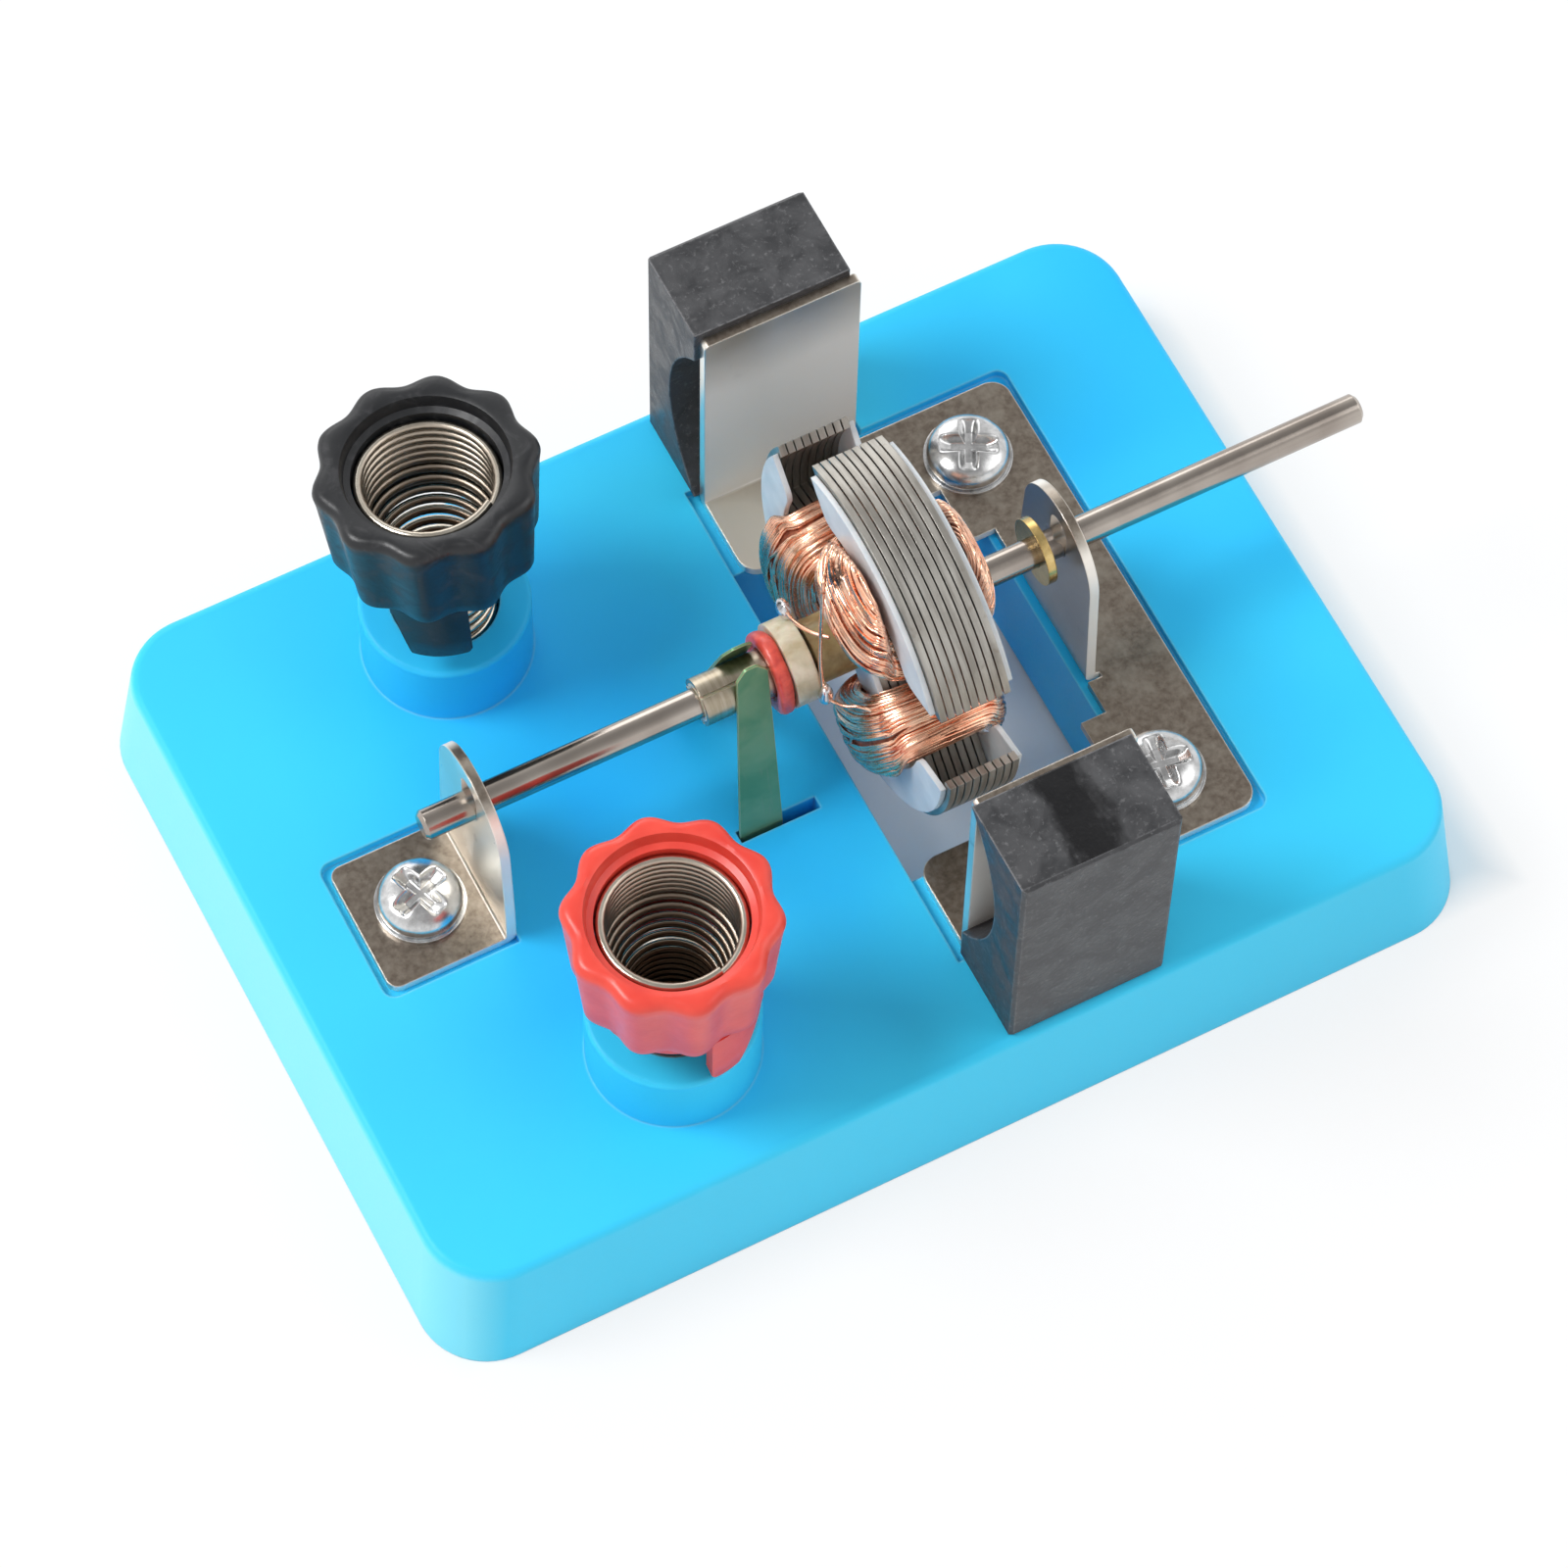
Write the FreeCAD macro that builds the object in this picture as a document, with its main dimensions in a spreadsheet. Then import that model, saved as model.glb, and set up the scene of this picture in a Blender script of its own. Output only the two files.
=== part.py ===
"""Demonstration electric motor: a three-pole rotor in plain sight between two magnets.

Millimetres. X runs along the shaft towards its long output end, Y to the back, Z up.
The pieces are drawn from the centre of the base, then all moved by frame_shift, which
puts the origin under the middle of the whole motor, at the level of the table.
"""
import FreeCAD, Part
import math
import os
import Sketcher
from FreeCAD import Placement, Rotation, Vector

TINY = 1e-4

DRIVING = {
    # moulded base and its two terminal bosses
    "base_length": 110.0,
    "base_width": 79.5,
    "base_height": 14.6,
    "base_draft": 1.6,
    "base_corner": 7.0,
    "base_edge_round": 0.9,
    "base_wall": 2.5,
    "base_top": 3.0,
    "base_rib_lift": 0.6,
    "terminal_left": 24.0,
    "terminal_spacing": 48.0,
    "boss_radius": 8.3,
    "boss_height": 8.6,
    "boss_edge_round": 0.5,
    "pillar_radius": 4.0,
    "opening_length": 24.3,
    "opening_width": 37.0,
    "opening_wall": 2.0,
    "opening_margin": 1.2,
    # sheet metal: bracket on the left, one-piece yoke on the right
    "sheet": 1.0,
    "bend_round": 0.3,
    "outer_bend_round": 1.1,
    "seat_gap": 0.8,
    "seat_end_gap": 0.6,
    "seat_corner": 1.2,
    "bracket_seat_end_gap": 0.7,
    "bracket_corner": 1.2,
    "overcut": 1.0,
    "bracket_left": 32.9,
    "bracket_foot": 12.0,
    "bracket_width": 14.0,
    "bracket_screw": 5.6,
    "tongue_right": 28.8,
    "tongue_base": 14.4,
    "tongue_tip": 12.9,
    "tongue_over_shaft": 5.5,
    "slot_rise": 2.2,
    "tongue_relief": 0.5,
    "taper_lift": 0.5,
    "head_flat": 0.05,
    "yoke_start": 5.0,
    "yoke_crossbar": 8.6,
    "yoke_bar_width": 11.3,
    "yoke_bar_spread": 52.4,
    "yoke_neck": 22.6,
    "arm_inner": 35.0,
    "flap_spread": 53.2,
    "flap_width": 16.5,
    "flap_height": 29.0,
    "flap_corner": 0.6,
    "yoke_corner": 2.0,
    "yoke_screw_inset": 7.2,
    "yoke_screw_spacing": 39.0,
    # magnets
    "magnet_length": 16.4,
    "magnet_depth": 9.9,
    "magnet_height": 30.0,
    "magnet_shift": 0.65,
    "magnet_groove": 18.0,
    "magnet_groove_depth": 5.3,
    "magnet_groove_rise": 12.9,
    "magnet_chamfer": 0.35,
    # screws
    "screw_head": 8.2,
    "screw_head_height": 2.5,
    "screw_dome": 1.5,
    "screw_core": 3.9,
    "screw_length": 10.5,
    "pilot_spare": 1.0,
    "screw_clearance": 0.25,
    "cross_width": 1.2,
    "cross_span": 4.6,
    "cross_depth": 1.3,
    "washer": 8.8,
    "washer_thickness": 0.5,
    # shaft and rotor
    "shaft_rise": 15.3,
    "shaft": 3.0,
    "shaft_chamfer": 0.35,
    "shaft_stub": 5.0,
    "shaft_output": 31.5,
    "running_fit": 0.05,
    "push_fit": 0.02,
    "root_overlap": 0.1,
    "stack_centre": 11.02,
    "plates": 9.0,
    "plate": 0.66,
    "plate_spacing": 0.825,
    "rotor": 37.66,
    "rotor_phase": 105.0,
    "commutator_lag": 65.0,
    "shoe": 1.1,
    "stem": 4.6,
    "core_hub": 9.0,
    "pole_gap": 9.4,
    "insulator": 0.55,
    "insulator_margin": 0.6,
    "flange_inner": 27.4,
    "flange_gap": 10.6,
    "flange_round": 1.8,
    "coil_left_overhang": 4.25,
    "coil_right_overhang": 3.15,
    "coil_width": 15.6,
    "coil_foot": 5.4,
    "coil_crown": 30.0,
    "coil_gap": 0.3,
    "coil_round": 5.0,
    "spacer": 6.4,
    "spacer_length": 4.65,
    "hub": 8.6,
    "hub_length": 2.3,
    "hub_web": 0.2,
    "ring": 8.2,
    "ring_length": 1.7,
    "commutator": 4.8,
    "commutator_bare": 6.8,
    "segment_wall": 0.4,
    "segment_angle": 112.0,
    "tab_thickness": 0.45,
    "tab_clearance": 0.15,
    "tab_width": 1.6,
    "tab_reach": 5.2,
    "collar": 6.8,
    "collar_width": 0.9,
    "end_play": 1.8,
    # brushes and the screws under the top plate
    "brush_strip": 0.3,
    "brush_root": 4.5,
    "brush_tip": 3.2,
    "brush_skew": 1.9,
    "brush_shoulder": 1.0,
    "brush_tip_round": 0.65,
    "brush_from_end": 3.0,
    "brush_tip_rise": 4.8,
    "brush_spread": 14.8,
    "brush_gap": 0.04,
    "brush_foot": 17.5,
    "slot_length": 8.4,
    "slot_width": 1.3,
    "slot_margin": 0.1,
    "contact_screw_spread": 27.0,
    "contact_screw": 2.4,
    "contact_screw_bite": 2.1,
    "contact_pilot_spare": 0.2,
    "contact_head": 5.2,
    "contact_head_height": 1.6,
    # terminal caps and springs
    "cap": 18.8,
    "cap_lobe": 1.9,
    "cap_lobe_pitch": 16.6,
    "cap_lobes": 10.0,
    "cap_taper": 3.0,
    "cap_skirt": 11.0,
    "cap_lift": 0.35,
    "black_cap_rise": 2.2,
    "cap_leg": 8.1,
    "cap_leg_width": 7.6,
    "cap_leg_round": 2.2,
    "cap_bore": 14.3,
    "cap_sleeve": 15.8,
    "cap_sleeve_drop": 1.8,
    "cap_lip": 0.55,
    "black_cap_turn": -121.0,
    "red_cap_turn": -66.0,
    "black_cap_lean": 6.5,
    "spring_wire": 0.9,
    "spring_narrow": 9.1,
    "spring_wide": 13.1,
    "spring_gap": 0.25,
    "narrow_turns": 13.5,
    "narrow_pitch": 1.18,
    "open_turns": 6.0,
    "open_pitch": 1.25,
    "wide_turns": 6.6,
    "wide_pitch": 0.98,
    "spring_sides": 12.0,
}

doc = FreeCAD.newDocument("demonstration_motor")
sheet = doc.addObject("Spreadsheet::Sheet", "sizes")


class Size:
    """A number together with the sheet expression that gives it."""

    def __init__(self, value, text):
        self.value = float(value)
        self.text = text

    def _with(self, other, sign, value):
        text = other.text if isinstance(other, Size) else repr(float(other))
        return Size(value, f"({self.text} {sign} {text})")

    def __add__(self, other):
        return self._with(other, "+", self.value + number(other))

    def __sub__(self, other):
        return self._with(other, "-", self.value - number(other))

    def __mul__(self, other):
        return self._with(other, "*", self.value * number(other))

    def __truediv__(self, other):
        return self._with(other, "/", self.value / number(other))

    def __neg__(self):
        return self * -1


def number(item):
    return item.value if isinstance(item, Size) else float(item)


def slope_angle(rise, run):
    """The angle in degrees whose tangent is rise over run."""
    degrees = math.degrees(math.atan2(rise.value, run.value))
    return Size(degrees, f"(atan({rise.text} / {run.text}) / 1 deg)")


class Sizes:
    """The driving dimensions, one attribute for each cell of the sheet."""


size = Sizes()
for row, (alias, value) in enumerate(DRIVING.items(), start=1):
    sheet.set(f"A{row}", alias)
    sheet.set(f"B{row}", str(value))
    sheet.setAlias(f"B{row}", alias)
    setattr(size, alias, Size(value, f"sizes.{alias}"))
doc.recompute()

ZERO = Size(0.0, "0.0")

# heights and places that several pieces share
underside = size.base_height - size.base_top
recess_floor = size.base_height - size.sheet
boss_top = size.base_height + size.boss_height
axis_height = size.base_height + size.shaft_rise
terminal_y = size.terminal_spacing / 2

flap_outer = size.flap_spread / 2 + size.sheet
flap_right = size.yoke_start + size.flap_width
yoke_right = size.tongue_right + size.yoke_crossbar
yoke_screw_x = yoke_right - size.yoke_screw_inset
yoke_screw_y = size.yoke_screw_spacing / 2
opening_left = size.yoke_start - size.opening_margin
opening_right = opening_left + size.opening_length

bracket_face = -size.bracket_left
bracket_end = bracket_face - size.bracket_foot
bracket_screw_x = bracket_face - size.bracket_screw

stack_left = size.stack_centre - size.plate_spacing * size.plates / 2
stack_right = size.stack_centre + size.plate_spacing * size.plates / 2
insulator_left = stack_left - size.insulator
insulator_right = stack_right + size.insulator
spacer_left = insulator_left - size.spacer_length
hub_right = spacer_left - size.tab_thickness - size.tab_clearance
hub_left = hub_right - size.hub_length
ring_left = hub_left - size.ring_length
commutator_left = ring_left - size.commutator_bare
collar_right = size.tongue_right - size.end_play
shaft_left = bracket_face - size.shaft_stub
shaft_right = size.tongue_right + size.sheet + size.shaft_output
frame_shift = (size.base_length / 2 - shaft_right) / 2

brush_y = size.brush_spread / 2
brush_left = commutator_left + size.brush_from_end - size.brush_root / 2
contact_x = brush_left + size.brush_root / 2
contact_y = size.contact_screw_spread / 2
screw_hole = size.screw_core / 2 + size.screw_clearance


# ---- drawing helpers -------------------------------------------------------

def new_body(label):
    body = doc.addObject("PartDesign::Body", label)
    body.Label = label
    return body


def bind(item, name, amount):
    """Set a property and tie it to the sheet."""
    if isinstance(amount, Size):
        item.setExpression(name, amount.text)
    else:
        setattr(item, name, amount)


def new_sketch(body, name, role, level=ZERO):
    """A sketch on one of the body's own origin planes, moved along the plane's normal."""
    sketch = body.newObject("Sketcher::SketchObject", name)
    support = next(item for item in body.Origin.OriginFeatures if item.Role == role)
    sketch.AttachmentSupport = [(support, "")]
    sketch.MapMode = "FlatFace"
    sketch.setExpression("AttachmentOffset.Base.z", level.text)
    return sketch


def pin(sketch, piece, end, point):
    """Hold one end or centre of a sketch line at a place given by two sizes."""
    for direction, place in zip(("DistanceX", "DistanceY"), point):
        rule = sketch.addConstraint(Sketcher.Constraint(direction, -1, 1, piece, end, place.value))
        sketch.setExpression(f"Constraints[{rule}]", place.text)


def polygon(sketch, points):
    first = sketch.GeometryCount
    count = len(points)
    for here, there in zip(points, points[1:] + points[:1]):
        start = Vector(here[0].value, here[1].value, 0)
        end = Vector(there[0].value, there[1].value, 0)
        sketch.addGeometry(Part.LineSegment(start, end))
    for side in range(count):
        following = first + (side + 1) % count
        sketch.addConstraint(Sketcher.Constraint("Coincident", first + side, 2, following, 1))
    for side, point in enumerate(points):
        pin(sketch, first + side, 1, point)


def rectangle(sketch, left, low, right, high):
    polygon(sketch, [(left, low), (right, low), (right, high), (left, high)])


def circle(sketch, across, up, radius):
    centre = Vector(across.value, up.value, 0)
    ring = sketch.addGeometry(Part.Circle(centre, Vector(0, 0, 1), radius.value))
    rule = sketch.addConstraint(Sketcher.Constraint("Radius", ring, radius.value))
    sketch.setExpression(f"Constraints[{rule}]", radius.text)
    pin(sketch, ring, 3, (across, up))


def obround(sketch, across, low, high, radius):
    """A slot with round ends, upright in the sketch."""
    bottom = Part.Circle(Vector(across.value, low.value, 0), Vector(0, 0, 1), radius.value)
    top = Part.Circle(Vector(across.value, high.value, 0), Vector(0, 0, 1), radius.value)
    lower = sketch.addGeometry(Part.ArcOfCircle(bottom, math.pi, 2 * math.pi))
    upper = sketch.addGeometry(Part.ArcOfCircle(top, 0, math.pi))
    right_low = Vector(across.value + radius.value, low.value, 0)
    right_high = Vector(across.value + radius.value, high.value, 0)
    left_low = Vector(across.value - radius.value, low.value, 0)
    left_high = Vector(across.value - radius.value, high.value, 0)
    right = sketch.addGeometry(Part.LineSegment(right_low, right_high))
    left = sketch.addGeometry(Part.LineSegment(left_high, left_low))
    sketch.addConstraint(Sketcher.Constraint("Tangent", lower, 2, right, 1))
    sketch.addConstraint(Sketcher.Constraint("Tangent", right, 2, upper, 1))
    sketch.addConstraint(Sketcher.Constraint("Tangent", upper, 2, left, 1))
    sketch.addConstraint(Sketcher.Constraint("Tangent", left, 2, lower, 1))
    for arc in (lower, upper):
        rule = sketch.addConstraint(Sketcher.Constraint("Radius", arc, radius.value))
        sketch.setExpression(f"Constraints[{rule}]", radius.text)
    pin(sketch, lower, 3, (across, low))
    pin(sketch, upper, 3, (across, high))


def pad(body, name, sketch, length, backwards=False, both_ways=False):
    feature = body.newObject("PartDesign::Pad", name)
    feature.Profile = sketch
    bind(feature, "Length", length)
    feature.Reversed = backwards
    if both_ways:
        feature.SideType = "Symmetric"
    return feature


def pocket(body, name, sketch, depth=None, forwards=False, both_ways=False):
    """Cut against the sketch's normal, or along it, to a depth or all the way."""
    feature = body.newObject("PartDesign::Pocket", name)
    feature.Profile = sketch
    feature.Reversed = forwards
    if depth is None:
        feature.Type = "ThroughAll"
    else:
        bind(feature, "Length", depth)
    if both_ways:
        feature.SideType = "Symmetric"
    return feature


def round_edges(body, name, keep, radius, kind="Fillet"):
    """Round or chamfer those edges of the body's last feature that a test keeps."""
    doc.recompute()
    last = body.Tip
    names = [f"Edge{n}" for n, edge in enumerate(last.Shape.Edges, start=1) if keep(edge.BoundBox)]
    feature = body.newObject(f"PartDesign::{kind}", name)
    feature.Base = (last, names)
    bind(feature, "Radius" if kind == "Fillet" else "Size", radius)
    return feature


def pattern(body, name, originals, count):
    """Repeat features round the Z axis of the first one's sketch."""
    feature = body.newObject("PartDesign::PolarPattern", name)
    feature.Originals = originals
    feature.Axis = (originals[0].Profile[0], ["N_Axis"])
    feature.Angle = 360
    bind(feature, "Occurrences", count)
    body.Tip = feature
    return feature


def same(first, second):
    return abs(first - number(second)) < TINY


def upright(box):
    return box.ZLength > TINY and box.XLength < TINY and box.YLength < TINY


def along_x(box):
    return box.XLength > TINY and box.YLength < TINY and box.ZLength < TINY


def along_y(box):
    return box.YLength > TINY and box.XLength < TINY and box.ZLength < TINY


def place(item, across=ZERO, back=ZERO, up=ZERO):
    for name, amount in zip("xyz", (across + frame_shift, back, up)):
        item.setExpression(f"Placement.Base.{name}", amount.text)


def place_on_shaft(item, turn=ZERO):
    """Rotor pieces are drawn round the X axis, then raised to the shaft and turned with it."""
    angle = size.rotor_phase + turn
    item.Placement = Placement(Vector(), Rotation(Vector(1, 0, 0), angle.value))
    item.setExpression("Placement.Rotation.Angle", angle.text)
    place(item, up=axis_height)


def mirrored(points):
    """A closed outline from its upper half, which starts and ends off the mirror line."""
    return points + [(across, -up) for across, up in reversed(points)]


# ---- base ------------------------------------------------------------------

def yoke_recess():
    """Outline of the shallow seat that holds the yoke flush with the base's top."""
    right = yoke_right + size.seat_end_gap
    narrow = size.yoke_bar_spread / 2 + size.seat_gap
    wide = flap_outer + size.seat_gap
    step = flap_right + size.seat_gap
    return mirrored([(right, narrow), (step, narrow), (step, wide), (opening_left, wide)])


def cut_base(body):
    """Everything that is taken out of the moulding from above."""
    seats = new_sketch(body, "sheet_seats", "XY_Plane", size.base_height)
    polygon(seats, yoke_recess())
    half_seat = size.bracket_width / 2 + size.seat_gap
    seat_end = bracket_end - size.bracket_seat_end_gap
    rectangle(seats, seat_end, -half_seat, bracket_face + size.sheet, half_seat)
    pocket(body, "sheet_seat_cut", seats, size.sheet)

    def seat_corner(box):
        beyond_yoke = same(box.XMin, yoke_right + size.seat_end_gap)
        beyond_bracket = same(box.XMin, seat_end)
        return upright(box) and (beyond_yoke or beyond_bracket)

    round_edges(body, "sheet_seat_corners", seat_corner, size.seat_corner)
    opening = new_sketch(body, "rotor_opening", "XY_Plane", size.base_height)
    half_opening = size.opening_width / 2
    rectangle(opening, opening_left, -half_opening, opening_right, half_opening)
    pocket(body, "rotor_opening_cut", opening)
    bores = new_sketch(body, "spring_bores", "XY_Plane", boss_top)
    bore = (size.spring_narrow + size.spring_wire) / 2 + size.spring_gap
    for side in (terminal_y, -terminal_y):
        circle(bores, -size.terminal_left, side, bore)
    pocket(body, "spring_bore_cut", bores)
    slots = new_sketch(body, "brush_slots", "XY_Plane", size.base_height)
    slot_left = brush_left - size.slot_margin
    for side in (brush_y, -brush_y):
        low = side - size.slot_width / 2
        rectangle(slots, slot_left, low, slot_left + size.slot_length, low + size.slot_width)
    pocket(body, "brush_slot_cut", slots)
    pilots = new_sketch(body, "screw_pilots", "XY_Plane", recess_floor)
    pilot = size.screw_core / 2 + size.push_fit
    pilot_depth = size.screw_length + size.pilot_spare - size.washer_thickness - size.sheet
    for across, back in screw_places():
        circle(pilots, across, back, pilot)
    pocket(body, "screw_pilot_cut", pilots, pilot_depth)
    contacts = new_sketch(body, "contact_pilots", "XY_Plane", underside)
    for side in (contact_y, -contact_y):
        circle(contacts, contact_x, side, size.contact_screw / 2 + size.push_fit)
    contact_depth = size.contact_screw_bite + size.contact_pilot_spare
    pocket(body, "contact_pilot_cut", contacts, contact_depth, forwards=True)


def screw_places():
    return [
        (bracket_screw_x, ZERO),
        (yoke_screw_x, yoke_screw_y),
        (yoke_screw_x, -yoke_screw_y),
    ]


def make_base():
    body = new_body("base")
    half_length = size.base_length / 2
    half_width = size.base_width / 2
    outline = new_sketch(body, "base_outline", "XY_Plane")
    rectangle(outline, -half_length, -half_width, half_length, half_width)
    pad(body, "base_block", outline, size.base_height)
    doc.recompute()
    block = body.Tip
    sides = []
    for n, face in enumerate(block.Shape.Faces, start=1):
        if face.BoundBox.ZLength > TINY:
            sides.append(f"Face{n}")
        elif same(face.BoundBox.ZMin, 0):
            bottom = [f"Face{n}"]
    draft = body.newObject("PartDesign::Draft", "base_draft_faces")
    draft.Base = (block, sides)
    draft.NeutralPlane = (block, bottom)
    draft.Reversed = False
    bind(draft, "Angle", slope_angle(size.base_draft, size.base_height))
    round_edges(body, "base_corners", lambda box: box.ZLength > TINY, size.base_corner)
    round_edges(body, "base_rim", lambda box: same(box.ZMin, size.base_height), size.base_edge_round)
    bosses = new_sketch(body, "boss_outline", "XY_Plane", size.base_height)
    for side in (terminal_y, -terminal_y):
        circle(bosses, -size.terminal_left, side, size.boss_radius)
    pad(body, "bosses", bosses, size.boss_height)
    round_edges(body, "boss_rims", lambda box: same(box.ZMin, boss_top), size.boss_edge_round)
    hollow = new_sketch(body, "hollow_outline", "XY_Plane")
    inset = size.base_wall + size.base_draft
    rectangle(hollow, inset - half_length, inset - half_width, half_length - inset, half_width - inset)
    pocket(body, "hollow_cut", hollow, underside, forwards=True)
    reach = half_length - inset

    def inner_corner(box):
        return upright(box) and same(abs(box.XMin), reach)

    round_edges(body, "hollow_corners", inner_corner, size.base_corner - inset)
    depth = underside - size.base_rib_lift
    frame = new_sketch(body, "opening_frame", "XY_Plane", size.base_rib_lift)
    half_opening = size.opening_width / 2
    wall = size.opening_wall
    outside = half_opening + wall
    rectangle(frame, opening_left - wall, -outside, opening_right + wall, outside)
    rectangle(frame, opening_left, -half_opening, opening_right, half_opening)
    pad(body, "opening_walls", frame, depth)
    pillars = new_sketch(body, "pillar_outline", "XY_Plane", size.base_rib_lift)
    for across, back in screw_places():
        circle(pillars, across, back, size.pillar_radius)
    pad(body, "screw_pillars", pillars, depth)
    cut_base(body)
    place(body)
    return body


# ---- sheet metal -----------------------------------------------------------

def trim_tongue(body, name, backwards):
    """Taper the upright, round its head and cut the shaft slot."""
    root = size.tongue_base / 2
    tip = size.tongue_tip / 2
    top = axis_height + size.tongue_over_shaft
    outside = root + size.overcut
    above = top + size.overcut
    low = size.base_height + size.taper_lift
    for side, mirror in (("front", 1), ("back", -1)):
        taper = new_sketch(body, f"{name}_{side}_taper", "YZ_Plane")
        points = [(root, low), (outside, low), (outside, above), (tip, above), (tip, axis_height)]
        polygon(taper, [(across * mirror, up) for across, up in points])
        pocket(body, f"{name}_{side}_taper_cut", taper, forwards=not backwards)
    slot = new_sketch(body, f"{name}_slot", "YZ_Plane")
    radius = size.shaft / 2 + size.running_fit
    obround(slot, ZERO, axis_height, axis_height + size.slot_rise, radius)
    pocket(body, f"{name}_slot_cut", slot, forwards=not backwards)

    def head_corner(box):
        return along_x(box) and same(box.ZMin, top)

    round_edges(body, f"{name}_head", head_corner, tip - size.head_flat)


def make_left_bracket():
    body = new_body("left_bracket")
    top = axis_height + size.tongue_over_shaft
    right = bracket_face + size.sheet
    profile = new_sketch(body, "bracket_profile", "XZ_Plane")
    polygon(profile, [
        (bracket_end, recess_floor),
        (right, recess_floor),
        (right, top),
        (bracket_face, top),
        (bracket_face, size.base_height),
        (bracket_end, size.base_height),
    ])
    pad(body, "bracket_strip", profile, size.bracket_width, both_ways=True)

    def outer_bend(box):
        return along_y(box) and same(box.XMin, right) and same(box.ZMin, recess_floor)

    def inner_bend(box):
        return along_y(box) and same(box.XMin, bracket_face) and same(box.ZMin, size.base_height)

    def plate_corner(box):
        return upright(box) and same(box.XMin, bracket_end)

    round_edges(body, "bracket_corners", plate_corner, size.bracket_corner)
    round_edges(body, "bracket_outer_bend", outer_bend, size.outer_bend_round)
    round_edges(body, "bracket_inner_bend", inner_bend, size.bend_round)
    trim_tongue(body, "bracket", backwards=True)
    hole = new_sketch(body, "bracket_hole", "XY_Plane", size.base_height)
    circle(hole, bracket_screw_x, ZERO, screw_hole)
    pocket(body, "bracket_hole_cut", hole, size.sheet)
    place(body)
    return body


def make_yoke():
    body = new_body("yoke")
    bar = size.yoke_bar_spread / 2
    arm = size.arm_inner / 2
    neck = size.yoke_neck / 2
    inner = yoke_right - size.yoke_bar_width
    plate = new_sketch(body, "yoke_outline", "XY_Plane", recess_floor)
    polygon(plate, mirrored([
        (yoke_right, bar),
        (flap_right, bar),
        (flap_right, flap_outer),
        (size.yoke_start, flap_outer),
        (size.yoke_start, arm),
        (inner, arm),
        (inner, neck),
        (size.tongue_right, neck),
    ]))
    pad(body, "yoke_plate", plate, size.sheet)
    for side, mirror in (("front", -1), ("back", 1)):
        flap = new_sketch(body, f"{side}_flap_outline", "XY_Plane", recess_floor)
        inside = flap_outer - size.sheet
        rectangle(flap, size.yoke_start, inside * mirror, flap_right, flap_outer * mirror)
        pad(body, f"{side}_flap", flap, size.sheet + size.flap_height)
    tongue = new_sketch(body, "tongue_outline", "XY_Plane", recess_floor)
    half = size.tongue_base / 2
    rectangle(tongue, size.tongue_right, -half, size.tongue_right + size.sheet, half)
    pad(body, "tongue", tongue, size.sheet + size.shaft_rise + size.tongue_over_shaft)
    relief = new_sketch(body, "tongue_reliefs", "XY_Plane", size.base_height)
    relief_end = size.tongue_right + size.sheet + size.tongue_relief
    for mirror in (1, -1):
        near = half * mirror
        far = (half + size.tongue_relief) * mirror
        rectangle(relief, size.tongue_right - size.overcut, near, relief_end, far)
    pocket(body, "tongue_relief_cut", relief, size.sheet)

    def outer_bend(box):
        flap = along_x(box) and same(abs(box.YMin), flap_outer)
        within = max(box.YMax, -box.YMin) < half.value + TINY
        tongue_root = along_y(box) and same(box.XMin, size.tongue_right) and within
        return same(box.ZMin, recess_floor) and (flap or tongue_root)

    def inner_bend(box):
        flap = along_x(box) and same(abs(box.YMin), flap_outer - size.sheet)
        tongue_root = along_y(box) and same(box.XMin, size.tongue_right + size.sheet)
        return same(box.ZMin, size.base_height) and (flap or tongue_root)

    def plate_corner(box):
        far_corner = same(box.XMin, yoke_right)
        near_corner = same(box.XMin, size.yoke_start) and same(abs(box.YMin), arm)
        return upright(box) and (far_corner or near_corner)

    def flap_corner(box):
        return along_y(box) and same(box.ZMin, size.base_height + size.flap_height)

    round_edges(body, "yoke_outer_bends", outer_bend, size.outer_bend_round)
    round_edges(body, "yoke_inner_bends", inner_bend, size.bend_round)
    round_edges(body, "yoke_corners", plate_corner, size.yoke_corner)
    round_edges(body, "flap_corners", flap_corner, size.flap_corner)
    trim_tongue(body, "yoke", backwards=False)
    holes = new_sketch(body, "yoke_holes", "XY_Plane", size.base_height)
    for side in (yoke_screw_y, -yoke_screw_y):
        circle(holes, yoke_screw_x, side, screw_hole)
    pocket(body, "yoke_hole_cut", holes, size.sheet)
    place(body)
    return body


# ---- magnets ---------------------------------------------------------------

def make_magnet(label, front):
    """A block with a hollowed inner face; the front one is the same piece upside down."""
    body = new_body(label)
    block = new_sketch(body, f"{label}_section", "YZ_Plane")
    rectangle(block, ZERO, ZERO, size.magnet_depth, size.magnet_height)
    pad(body, f"{label}_block", block, size.magnet_length, both_ways=True)
    groove = new_sketch(body, f"{label}_groove", "YZ_Plane")
    centre = size.magnet_groove_depth - size.magnet_groove
    circle(groove, centre, size.magnet_groove_rise, size.magnet_groove)
    pocket(body, f"{label}_groove_cut", groove, both_ways=True)
    outer = size.magnet_depth

    def outer_edge(box):
        return same(box.YMin, outer) and same(box.YMax, outer)

    round_edges(body, f"{label}_edges", outer_edge, size.magnet_chamfer, "Chamfer")
    middle = size.yoke_start + size.flap_width / 2 - size.magnet_shift
    if front:
        body.Placement = Placement(Vector(), Rotation(Vector(1, 0, 0), 180))
        place(body, middle, -flap_outer, size.base_height + size.magnet_height)
    else:
        place(body, middle, flap_outer, size.base_height)
    return body


# ---- screws and washers ----------------------------------------------------

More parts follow.
